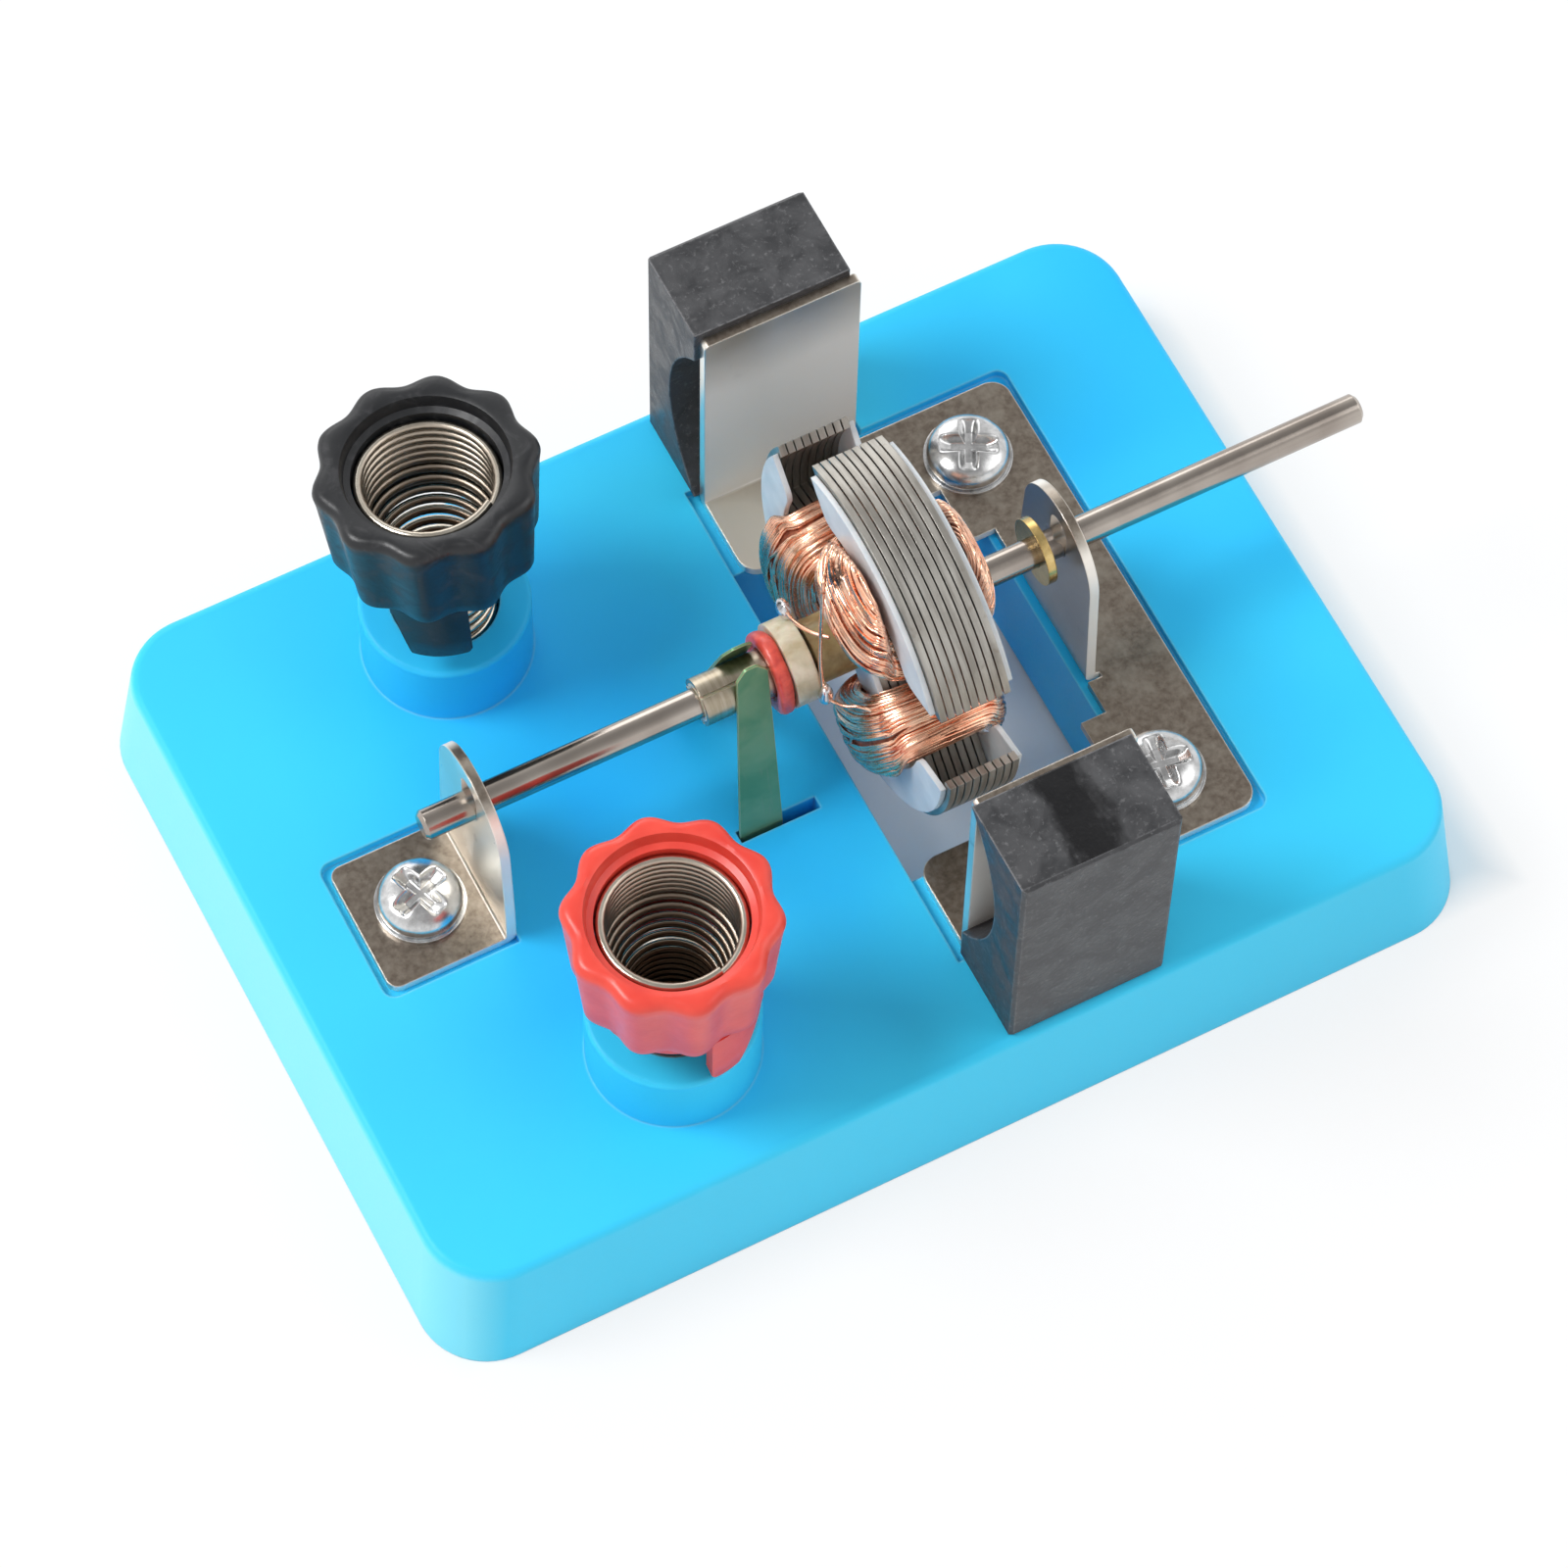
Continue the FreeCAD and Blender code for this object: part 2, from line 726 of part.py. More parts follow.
def cross_outline(width, span):
    """The twelve corners of a cross recess."""
    narrow = width / 2
    wide = span / 2
    quarter = [(wide, -narrow), (wide, narrow), (narrow, narrow)]
    points = []
    for turn in range(4):
        for across, up in quarter:
            turned = [(across, up), (-up, across), (-across, -up), (up, -across)][turn]
            points.append(turned)
    return points


def make_screw(name, across, back):
    body = new_body(name)
    shank = new_sketch(body, f"{name}_shank_outline", "XY_Plane")
    circle(shank, ZERO, ZERO, size.screw_core / 2)
    pad(body, f"{name}_shank", shank, size.screw_length, backwards=True)
    head = new_sketch(body, f"{name}_head_outline", "XY_Plane")
    circle(head, ZERO, ZERO, size.screw_head / 2)
    pad(body, f"{name}_head", head, size.screw_head_height)

    def head_rim(box):
        return same(box.ZMin, size.screw_head_height)

    round_edges(body, f"{name}_dome", head_rim, size.screw_dome)
    recess = new_sketch(body, f"{name}_cross", "XY_Plane", size.screw_head_height)
    polygon(recess, cross_outline(size.cross_width, size.cross_span))
    pocket(body, f"{name}_cross_cut", recess, size.cross_depth)
    place(body, across, back, size.base_height + size.washer_thickness)
    return body


def make_washer(name, across, back):
    body = new_body(name)
    ring = new_sketch(body, f"{name}_outline", "XY_Plane")
    circle(ring, ZERO, ZERO, size.washer / 2)
    circle(ring, ZERO, ZERO, screw_hole)
    pad(body, f"{name}_ring", ring, size.washer_thickness)
    place(body, across, back, size.base_height)
    return body


def make_contact_screw(name, back):
    body = new_body(name)
    head_top = underside - size.brush_strip - size.spring_wire
    shank = new_sketch(body, f"{name}_shank_outline", "XY_Plane", head_top)
    circle(shank, ZERO, ZERO, size.contact_screw / 2)
    pad(body, f"{name}_shank", shank, size.brush_strip + size.spring_wire + size.contact_screw_bite)
    head = new_sketch(body, f"{name}_head_outline", "XY_Plane", head_top)
    circle(head, ZERO, ZERO, size.contact_head / 2)
    pad(body, f"{name}_head", head, size.contact_head_height, backwards=True)
    place(body, contact_x, back, ZERO)
    return body


def group(label, members):
    """Identical fasteners as one sub-part of separate solids."""
    item = doc.addObject("Part::Compound", label)
    item.Label = label
    item.Links = members
    return item


# ---- rotor -----------------------------------------------------------------

def disc(body, name, left, length, outer, bore=None):
    """A ring or disc round the X axis, from its left face."""
    ring = new_sketch(body, f"{name}_outline", "YZ_Plane", left)
    circle(ring, ZERO, ZERO, outer)
    if bore is not None:
        circle(ring, ZERO, ZERO, bore)
    return pad(body, name, ring, length)


def make_shaft():
    body = new_body("shaft")
    disc(body, "shaft_rod", shaft_left, shaft_right - shaft_left, size.shaft / 2)

    def rod_end(box):
        return box.XLength < TINY

    round_edges(body, "shaft_ends", rod_end, size.shaft_chamfer, "Chamfer")
    place_on_shaft(body)
    return body


def make_ring(label, left, length, outer, bore):
    body = new_body(label)
    disc(body, f"{label}_ring", left, length, outer, bore)
    place_on_shaft(body)
    return body


def pole_shape(body, name, left, length, outer, stem, shoe):
    """Three stems with curved shoes round a hub: shared by plates and insulators."""
    bore = size.shaft / 2 + size.push_fit
    disc(body, f"{name}_disc", left, length, outer, bore)
    window = new_sketch(body, f"{name}_window", "YZ_Plane", left + length)
    circle(window, ZERO, ZERO, outer - shoe)
    circle(window, ZERO, ZERO, size.core_hub / 2)
    pocket(body, f"{name}_window_cut", window, length)
    arm = new_sketch(body, f"{name}_stem_outline", "YZ_Plane", left)
    rectangle(arm, size.core_hub / 2 - size.overcut, -stem / 2, outer - shoe / 2, stem / 2)
    first = pad(body, f"{name}_stem", arm, length)
    pattern(body, f"{name}_stems", [first], 3)


def cut_pole_gaps(body, name, left, length, outer, width, depth):
    """Open the ring between neighbouring shoes; the gaps lie opposite the stems."""
    gap = new_sketch(body, f"{name}_gap_outline", "YZ_Plane", left + length)
    rectangle(gap, -outer - size.overcut, -width / 2, depth - outer, width / 2)
    first = pocket(body, f"{name}_gap", gap, length)
    pattern(body, f"{name}_gaps", [first], 3)


def make_plate(index):
    label = f"lamination_{index + 1:02d}"
    body = new_body(label)
    left = stack_left + size.plate_spacing * index + (size.plate_spacing - size.plate) / 2
    outer = size.rotor / 2
    pole_shape(body, label, left, size.plate, outer, size.stem, size.shoe)
    depth = size.shoe + size.overcut
    cut_pole_gaps(body, label, left, size.plate, outer, size.pole_gap, depth)
    place_on_shaft(body)
    return body


def make_insulator(label, left):
    """An end plate whose broad shoes keep the wire off the core."""
    body = new_body(label)
    outer = size.rotor / 2 - size.insulator_margin
    inner = size.flange_inner / 2
    stem = size.stem + size.insulator_margin
    pole_shape(body, label, left, size.insulator, outer, stem, outer - inner)
    depth = outer - inner + size.overcut * 2
    cut_pole_gaps(body, label, left, size.insulator, outer, size.flange_gap, depth)

    def shoe_corner(box):
        """An inner corner beside a gap; the stems stand at turns of 0, 120 and 240 degrees."""
        reach = math.hypot(box.YMin, box.ZMin)
        beside_gap = math.cos(3 * math.atan2(box.ZMin, box.YMin)) < 0
        return along_x(box) and same(reach, inner) and beside_gap

    round_edges(body, f"{label}_shoe_corners", shoe_corner, size.flange_round)
    place_on_shaft(body)
    return body


def make_winding(index):
    """One coil as the solid it fills, wound round a stem."""
    label = f"winding_{index + 1}"
    body = new_body(label)
    left = insulator_left - size.coil_left_overhang
    right = insulator_right + size.coil_right_overhang
    half = size.coil_width / 2
    inside = (size.stem + size.insulator_margin) / 2 + size.push_fit
    top = size.coil_crown / 2
    beyond = size.coil_crown
    outline = new_sketch(body, f"{label}_outline", "XZ_Plane", -size.coil_foot)
    rectangle(outline, left, -half, right, half)
    pad(body, f"{label}_block", outline, top - size.coil_foot, backwards=True)

    def end_edge(box):
        return along_y(box) and (same(box.XMin, left) or same(box.XMin, right))

    round_edges(body, f"{label}_ends", end_edge, size.coil_round)
    hole = new_sketch(body, f"{label}_hole", "XZ_Plane", -size.coil_foot)
    hole_left = insulator_left - size.push_fit
    hole_right = insulator_right + size.push_fit
    rectangle(hole, hole_left, -inside, hole_right, inside)
    pocket(body, f"{label}_hole_cut", hole, both_ways=True)
    crown = new_sketch(body, f"{label}_crown", "YZ_Plane", left - size.overcut)
    circle(crown, ZERO, ZERO, top)
    circle(crown, ZERO, ZERO, beyond)
    pocket(body, f"{label}_crown_cut", crown, right - left + size.overcut * 2, forwards=True)
    waist = new_sketch(body, f"{label}_waist", "YZ_Plane", insulator_left - size.coil_gap)
    circle(waist, ZERO, ZERO, size.flange_inner / 2 - size.coil_gap)
    circle(waist, ZERO, ZERO, beyond)
    waist_length = insulator_right - insulator_left + size.coil_gap * 2
    pocket(body, f"{label}_waist_cut", waist, waist_length, forwards=True)
    place_on_shaft(body, ZERO + 120.0 * index)
    return body


def make_hub():
    """Insulating core under the segments, with the flange that locks their tails."""
    body = new_body("commutator_hub")
    bore = size.shaft / 2 + size.push_fit
    core = size.commutator / 2 - size.segment_wall - size.push_fit
    disc(body, "hub_core", commutator_left, hub_right - commutator_left, core, bore)
    inside = core - size.root_overlap
    disc(body, "hub_flange", hub_left, size.hub_length, size.hub / 2, inside)
    tails = new_sketch(body, "hub_tails", "YZ_Plane", hub_right)
    circle(tails, ZERO, ZERO, size.commutator / 2 + size.push_fit)
    circle(tails, ZERO, ZERO, core)
    pocket(body, "hub_tail_cut", tails, size.hub_length)
    web = new_sketch(body, "hub_web_outline", "YZ_Plane", hub_left)
    half = size.hub_web / 2
    rectangle(web, -size.commutator / 2 - size.root_overlap, -half, -inside, half)
    first = pad(body, "hub_web", web, size.hub_length)
    pattern(body, "hub_webs", [first], 3)
    place_on_shaft(body, size.commutator_lag)
    return body


def make_segment(index):
    """A third of the commutator: a curved bar with a solder tab at its inner end."""
    label = f"commutator_segment_{index + 1}"
    body = new_body(label)
    outer = size.commutator / 2
    inner = outer - size.segment_wall
    length = hub_right - commutator_left + size.tab_thickness
    disc(body, f"{label}_tube", commutator_left, length, outer, inner)
    for side, mirror in (("low", -1), ("high", 1)):
        outline_name = f"{label}_{side}_cut_outline"
        away = new_sketch(body, outline_name, "YZ_Plane", commutator_left - size.overcut)
        across, up = edge_reach(size.commutator)
        behind = -size.commutator
        polygon(away, [(ZERO, ZERO), (across, up * mirror), (behind, up * mirror), (behind, ZERO)])
        pocket(body, f"{label}_{side}_cut", away, length + size.overcut * 2, forwards=True)
    tab = new_sketch(body, f"{label}_tab_outline", "YZ_Plane", hub_right + size.push_fit)
    half = size.tab_width / 2
    rectangle(tab, inner + size.segment_wall / 4, -half, size.tab_reach, half)
    pad(body, f"{label}_tab", tab, size.tab_thickness - size.push_fit)
    place_on_shaft(body, size.commutator_lag + 120.0 * index)
    return body


def edge_reach(far):
    """A point far out on a segment's edge line, which lies half its angle off the Y axis."""
    half = math.radians(size.segment_angle.value / 2)
    half_text = f"{size.segment_angle.text} / 2 * 1 deg"
    across = Size(far.value * math.cos(half), f"({far.text} * cos({half_text}))")
    up = Size(far.value * math.sin(half), f"({far.text} * sin({half_text}))")
    return across, up


# ---- brushes ---------------------------------------------------------------

def brush_lean():
    """Run over rise of the straight blade that just clears the commutator.

    The blade leaves its slot at brush_y and passes the shaft axis, shaft_rise higher,
    at the commutator's radius measured square to the blade.
    """
    clear = size.commutator / 2 + size.brush_gap
    start = brush_y - size.brush_strip / 2
    rise = size.shaft_rise
    span = math.hypot(start.value, rise.value)
    angle = math.asin(start.value / span) - math.asin(clear.value / span)
    root = f"sqrt({start.text} ^ 2 + {rise.text} ^ 2)"
    text = f"tan(asin({start.text} / {root}) - asin({clear.text} / {root}))"
    return Size(math.tan(angle), text)


def make_brush(label, mirror):
    body = new_body(label)
    lean = brush_lean()
    rise = size.shaft_rise + size.brush_tip_rise
    inside = brush_y - size.brush_strip / 2
    outside = brush_y + size.brush_strip / 2
    tip_inside = inside - lean * rise
    tip_outside = outside - lean * rise
    tip = size.base_height + rise
    foot_end = size.brush_foot
    foot_low = underside - size.brush_strip
    profile = new_sketch(body, f"{label}_profile", "YZ_Plane", brush_left)
    points = [
        (inside, foot_low),
        (foot_end, foot_low),
        (foot_end, underside),
        (outside, underside),
        (outside, size.base_height),
        (tip_outside, tip),
        (tip_inside, tip),
        (inside, size.base_height),
    ]
    polygon(profile, [(across * mirror, up) for across, up in points])
    tip_left = brush_left + size.brush_skew + (size.brush_root - size.brush_tip) / 2
    tip_right = tip_left + size.brush_tip
    root_right = brush_left + size.brush_root
    width = tip_right - brush_left
    pad(body, f"{label}_strip", profile, width)
    trim = new_sketch(body, f"{label}_trim", "XZ_Plane")
    before = brush_left - size.overcut
    beyond = tip_right + size.overcut
    above = tip + size.overcut
    below = foot_low - size.overcut
    shoulder = size.brush_shoulder
    polygon(trim, [
        (before, size.base_height),
        (before, above),
        (beyond, above),
        (beyond, below),
        (root_right, below),
        (root_right, size.base_height),
        (tip_right, tip - shoulder),
        (tip_right - shoulder, tip),
        (tip_left + shoulder, tip),
        (tip_left, tip - shoulder),
        (brush_left, size.base_height),
    ])
    pocket(body, f"{label}_trim_cut", trim, both_ways=True)

    def tip_corner(box):
        return along_y(box) and box.ZMin > (tip - shoulder).value - TINY

    round_edges(body, f"{label}_tip", tip_corner, size.brush_tip_round)
    hole = new_sketch(body, f"{label}_hole", "XY_Plane", underside)
    circle(hole, contact_x, contact_y * mirror, size.contact_screw / 2 + size.push_fit * 2)
    pocket(body, f"{label}_hole_cut", hole, size.brush_strip)
    place(body)
    return body


# ---- terminals -------------------------------------------------------------

def make_cap(label, back, turn, lean, rise):
    """A lobed cap on the spring's wide coil, with an inner sleeve and one leg down to the boss."""
    body = new_body(label)
    top = size.cap_lift + size.cap_leg + size.cap_skirt
    drop = size.cap_leg + size.cap_skirt
    core = new_sketch(body, f"{label}_core_outline", "XY_Plane", top)
    circle(core, ZERO, ZERO, size.cap / 2)
    wall = pad(body, f"{label}_core", core, drop, backwards=True)
    bind(wall, "TaperAngle", -size.cap_taper)
    lobe = new_sketch(body, f"{label}_lobe_outline", "XY_Plane", top)
    circle(lobe, size.cap_lobe_pitch / 2, ZERO, size.cap_lobe)
    first = pad(body, f"{label}_lobe", lobe, drop, backwards=True)
    bind(first, "TaperAngle", -size.cap_taper)
    pattern(body, f"{label}_lobes", [first], size.cap_lobes)
    skirt = new_sketch(body, f"{label}_skirt_outline", "XY_Plane", size.cap_lift - size.overcut)
    far = size.cap
    half = size.cap_leg_width / 2
    polygon(skirt, mirrored([(ZERO, half), (far, half), (far, far), (-far, far)]))
    pocket(body, f"{label}_skirt_cut", skirt, size.cap_leg + size.overcut, forwards=True)
    sleeve = new_sketch(body, f"{label}_sleeve_outline", "XY_Plane", top - size.cap_lip * 2)
    circle(sleeve, ZERO, ZERO, size.cap_sleeve / 2)
    sleeve_length = size.cap_skirt + size.cap_sleeve_drop - size.cap_lip * 2
    pad(body, f"{label}_sleeve", sleeve, sleeve_length, backwards=True)
    bore = new_sketch(body, f"{label}_bore_outline", "XY_Plane", top)
    circle(bore, ZERO, ZERO, size.cap_bore / 2)
    pocket(body, f"{label}_bore", bore)

    def lip(box):
        return same(box.ZMin, top) and same(box.XLength, size.cap_bore)

    def leg_corner(box):
        return along_x(box) and same(box.ZMin, size.cap_lift)

    round_edges(body, f"{label}_lip", lip, size.cap_lip, "Chamfer")
    round_edges(body, f"{label}_leg_corners", leg_corner, size.cap_leg_round)
    about_boss = Rotation(Vector(0, 0, 1), turn.value)
    tipped = Rotation(Vector(1, 0, 0), -lean)
    body.Placement = Placement(Vector(), tipped.multiply(about_boss))
    risen_back, risen_up = along_lean(rise, size.black_cap_lean)
    place(body, -size.terminal_left, back + risen_back, boss_top + risen_up)
    return body


def along_lean(rise, lean):
    """How far a rise along the leaning cap's own axis goes back, and up."""
    turn = math.radians(lean.value)
    back = Size(rise.value * math.sin(turn), f"({rise.text} * sin({lean.text} * 1 deg))")
    up = Size(rise.value * math.cos(turn), f"({rise.text} * cos({lean.text} * 1 deg))")
    return back, up


def spring_points(side, lean, rise):
    """Centre line of the wire: clamped tail, narrow coil, open turns, wide coil."""
    narrow = size.spring_narrow.value / 2
    wide = size.spring_wide.value / 2
    start = underside.value - size.brush_strip.value - size.spring_wire.value / 2
    sides = int(size.spring_sides.value)
    narrow_pitch = size.narrow_pitch.value + rise / size.narrow_turns.value
    heights = (
        size.narrow_turns.value * narrow_pitch,
        size.open_turns.value * size.open_pitch.value,
    )
    turns = (size.narrow_turns.value, size.open_turns.value, size.wide_turns.value)
    centre = Vector(-size.terminal_left.value, side * terminal_y.value, 0)
    screw = Vector(contact_x.value, side * contact_y.value, 0)
    beside = (size.contact_screw.value + size.spring_wire.value) / 2 + size.running_fit.value
    towards = screw - centre
    heading = math.atan2(towards.y, towards.x)
    swing = math.asin((narrow - beside) / towards.Length)
    leave = heading + math.pi / 2 - swing
    pivot = Vector(centre.x, centre.y, boss_top.value)
    tilt = Rotation(Vector(1, 0, 0), -lean)
    points = []
    for step in range(int(sum(turns) * sides) + 1):
        turn = step / sides
        if turn <= turns[0]:
            radius = narrow
            height = turn * narrow_pitch
        elif turn <= turns[0] + turns[1]:
            done = turn - turns[0]
            radius = narrow + (wide - narrow) * done / turns[1]
            height = heights[0] + done * size.open_pitch.value
        else:
            done = turn - turns[0] - turns[1]
            radius = wide
            height = sum(heights) + done * size.wide_pitch.value
        angle = leave + 2 * math.pi * turn
        place_here = centre + Vector(radius * math.cos(angle), radius * math.sin(angle), start + height)
        if place_here.z > pivot.z:
            place_here = pivot + tilt.multVec(place_here - pivot)
        points.append(place_here)
    along = Vector(-math.sin(leave), math.cos(leave), 0)
    tail_length = math.sqrt(towards.Length ** 2 - (narrow - beside) ** 2) + size.contact_screw.value / 2
    tail = points[0] - along * tail_length
    return [tail] + points


def make_spring(label, side, lean, rise):
    """The wire is swept along a many-sided helix, mitred at each corner."""
    points = spring_points(side, lean, rise)
    path = Part.makePolygon(points)
    section = Part.Circle(points[0], points[1] - points[0], size.spring_wire.value / 2)
    mitred = 1
    solid = path.makePipeShell([Part.Wire([section.toShape()])], True, False, mitred)
    item = doc.addObject("Part::Feature", label)
    item.Label = label
    item.Shape = solid
    item.Placement = Placement(Vector(frame_shift.value, 0, 0), Rotation())
    return item


# ---- the whole motor -------------------------------------------------------

def make_fasteners():
    screws = []
    washers = []
    for index, (across, back) in enumerate(screw_places(), start=1):
        screws.append(make_screw(f"mounting_screw_{index}", across, back))
        washers.append(make_washer(f"screw_washer_{index}", across, back))
    contacts = []
    for name, back in (("back", contact_y), ("front", -contact_y)):
        contacts.append(make_contact_screw(f"contact_screw_{name}", back))
    return [
        group("mounting_screws", screws),
        group("screw_washers", washers),
        group("contact_screws", contacts),
    ]


def make_rotor():
    shaft_bore = size.shaft / 2 + size.push_fit
    tail_bore = size.commutator / 2 + size.push_fit
    parts = [make_shaft()]
    parts += [make_plate(index) for index in range(int(size.plates.value))]
    parts.append(make_insulator("insulator_commutator_side", insulator_left))
    parts.append(make_insulator("insulator_drive_side", stack_right))
    parts += [make_winding(index) for index in range(3)]
    spacer = size.spacer / 2
    parts.append(make_ring("spacer_sleeve", spacer_left, size.spacer_length, spacer, shaft_bore))
    parts.append(make_hub())
    parts += [make_segment(index) for index in range(3)]
    parts.append(make_ring("commutator_ring", ring_left, size.ring_length, size.ring / 2, tail_bore))
    collar_left = collar_right - size.collar_width
    parts.append(make_ring("thrust_collar", collar_left, size.collar_width, size.collar / 2, shaft_bore))
    return parts


def make_terminals():
    lean = size.black_cap_lean.value
    rise = size.black_cap_rise
    return [
        make_cap("black_terminal_cap", terminal_y, size.black_cap_turn, lean, rise),
        make_cap("red_terminal_cap", -terminal_y, size.red_cap_turn, 0.0, ZERO),
        make_spring("black_terminal_spring", 1, lean, rise.value),
        make_spring("red_terminal_spring", -1, 0.0, 0.0),
    ]


def check(parts):
    """Stop before anything is written if a feature failed or cut nothing."""
    for item in doc.Objects:
        faults = {"Invalid", "Error"} & set(item.State)
        if faults:
            raise RuntimeError(f"{item.Name} is {faults}")
        if item.isDerivedFrom("PartDesign::Pocket") and item.BaseFeature:
            removed = item.BaseFeature.Shape.Volume - item.Shape.Volume
            if removed < TINY:
                raise RuntimeError(f"{item.Name} cuts nothing")
    for item in parts:
        if item.Shape.isNull() or not item.Shape.isValid():
            raise RuntimeError(f"{item.Label} has no valid shape")


def main():
    parts = [make_base(), make_left_bracket(), make_yoke()]
    parts += [make_magnet("magnet_front", True), make_magnet("magnet_back", False)]
    parts += make_fasteners()
    parts += make_rotor()
    parts += [make_brush("brush_front", -1), make_brush("brush_back", 1)]
    parts += make_terminals()
    doc.recompute()
    check(parts)
    os.makedirs("parts", exist_ok=True)
    for item in parts:
        item.Shape.exportStep(f"parts/{item.Label}.step")
    print(f"{len(parts)} sub-parts written")


main()
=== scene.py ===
import math

import bmesh
import bpy
import numpy as np
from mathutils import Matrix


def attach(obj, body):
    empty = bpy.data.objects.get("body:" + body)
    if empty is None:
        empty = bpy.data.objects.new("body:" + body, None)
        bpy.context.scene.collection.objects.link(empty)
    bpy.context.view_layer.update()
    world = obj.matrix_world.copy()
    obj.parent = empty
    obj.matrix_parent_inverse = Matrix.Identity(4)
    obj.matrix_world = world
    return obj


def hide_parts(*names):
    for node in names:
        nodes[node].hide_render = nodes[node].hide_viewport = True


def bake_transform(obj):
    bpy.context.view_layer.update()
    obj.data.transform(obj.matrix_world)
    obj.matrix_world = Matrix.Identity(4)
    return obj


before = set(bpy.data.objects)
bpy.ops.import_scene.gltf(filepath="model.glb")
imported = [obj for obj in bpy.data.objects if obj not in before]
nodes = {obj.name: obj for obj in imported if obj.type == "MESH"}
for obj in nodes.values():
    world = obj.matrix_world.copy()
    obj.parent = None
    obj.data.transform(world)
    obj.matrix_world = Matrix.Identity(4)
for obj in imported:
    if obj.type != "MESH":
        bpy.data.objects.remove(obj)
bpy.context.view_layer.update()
print("frame loaded:", len(nodes), "nodes")

mm = 0.001
perMetre = 1000.0
shaftHeight = 29.9  # of the shaft's axis above the table, in mm, as all sizes below


# camera: a long lens that looks down over the front left corner

cameraView = {
    "place": (-149.592, -269.404, 596.553), "turn": (0.478405, -0.010938, -0.475635),
    "lens": 158.349, "sensor": 36.0, "shift": (0.003009, -0.000299), "near": 0.01, "far": 20.0,
}


def makeCamera():
    data = bpy.data.cameras.new("camera")
    data.sensor_width = cameraView["sensor"]
    data.lens = cameraView["lens"]
    data.shift_x, data.shift_y = cameraView["shift"]
    data.clip_start = cameraView["near"]
    data.clip_end = cameraView["far"]
    camera = bpy.data.objects.new("camera", data)
    camera.location = [v * mm for v in cameraView["place"]]
    camera.rotation_euler = cameraView["turn"]
    bpy.context.scene.collection.objects.link(camera)
    bpy.context.scene.camera = camera


makeCamera()
bpy.context.scene.view_settings.view_transform = "Standard"
print("camera placed")


# shader maths: a wired value that can be added, subtracted and multiplied

class Wire:
    def __init__(self, shade, socket):
        self.shade = shade
        self.socket = socket

    def math(self, operation, first, second):
        inputs = {0: first, 1: second}
        return self.shade.add("ShaderNodeMath", {"operation": operation}, inputs)

    def __add__(self, other):
        return self.math("ADD", self, other)

    def __radd__(self, other):
        return self.math("ADD", other, self)

    def __sub__(self, other):
        return self.math("SUBTRACT", self, other)

    def __rsub__(self, other):
        return self.math("SUBTRACT", other, self)

    def __mul__(self, other):
        return self.math("MULTIPLY", self, other)

    def __rmul__(self, other):
        return self.math("MULTIPLY", other, self)


class Shade:
    # one material's nodes; add takes a node's type, its settings, then its sockets' values or wires

    def __init__(self, tree):
        self.tree = tree
        tree.nodes.clear()

    def add(self, kind, settings=None, inputs=None, output=0):
        node = self.tree.nodes.new(kind)
        for name, value in (settings or {}).items():
            setattr(node, name, value)
        for name, value in (inputs or {}).items():
            if isinstance(value, Wire):
                self.tree.links.new(value.socket, node.inputs[name])
            else:
                node.inputs[name].default_value = value
        return Wire(self, node.outputs[output]) if len(node.outputs) else node

    def place(self):
        return self.add("ShaderNodeTexCoord", output=3)

    def noise(self, size, detail=3.0, rough=0.55, distort=0.0, stretch=None):
        # size is the width of its blotches in mm; stretch scales x, y and z before it
        vector = self.place()
        if stretch:
            vector = self.add("ShaderNodeMapping", inputs={"Vector": vector, "Scale": stretch})
        inputs = {"Vector": vector, "Scale": perMetre / size, "Detail": detail,
                  "Roughness": rough, "Distortion": distort}
        return self.add("ShaderNodeTexNoise", inputs=inputs)

    def ramp(self, value, low, high):
        # 0 below low, 1 above high, straight between them
        inputs = {"Value": value, "From Min": low, "From Max": high}
        return self.add("ShaderNodeMapRange", inputs=inputs)

    def mix(self, factor, first, second):
        # first where factor is 0, second where it is 1
        inputs = {0: factor, 6: rgba(first), 7: rgba(second)}
        return self.add("ShaderNodeMix", {"data_type": "RGBA"}, inputs, 2)

    def along(self, vector, name):
        return self.add("ShaderNodeSeparateXYZ", inputs={0: vector}, output="xyz".index(name))

    def axis(self, name):
        # the object coordinate along x, y or z, in mm
        return self.along(self.place(), name) * perMetre

    def facing(self, name):
        # how far the surface faces along x, y or z, from -1 to 1
        return self.along(self.add("ShaderNodeNewGeometry", output=1), name)

    def spot(self, centre, radius):
        # 1 near a point given in mm, 0 beyond radius
        inputs = {0: self.place(), 1: [v * mm for v in centre]}
        far = self.add("ShaderNodeVectorMath", {"operation": "DISTANCE"}, inputs, 1)
        return self.ramp(far * perMetre, radius, radius * 0.4)

    def bump(self, height, depth, strength=1.0, edge=None):
        # depth in mm; edge rounds sharp edges by that radius in mm
        inputs = {"Height": height, "Distance": depth * mm, "Strength": strength}
        if edge:
            inputs["Normal"] = self.rounded(edge)
        return self.add("ShaderNodeBump", inputs=inputs)

    def rounded(self, edge):
        return self.add("ShaderNodeBevel", {"samples": 6}, {"Radius": edge * mm})

    def edgeMask(self, edge):
        # 1 along sharp edges, 0 on flat faces: how far the rounded normal leaves the flat one
        flat = self.add("ShaderNodeNewGeometry", output=1)
        inputs = {0: self.rounded(edge), 1: flat}
        same = self.add("ShaderNodeVectorMath", {"operation": "DOT_PRODUCT"}, inputs, 1)
        return self.ramp(same, 0.99, 0.8)


def rgba(colour):
    # a wire as it is, a plain colour with full opacity
    if isinstance(colour, Wire):
        return colour
    return (*colour, 1.0)


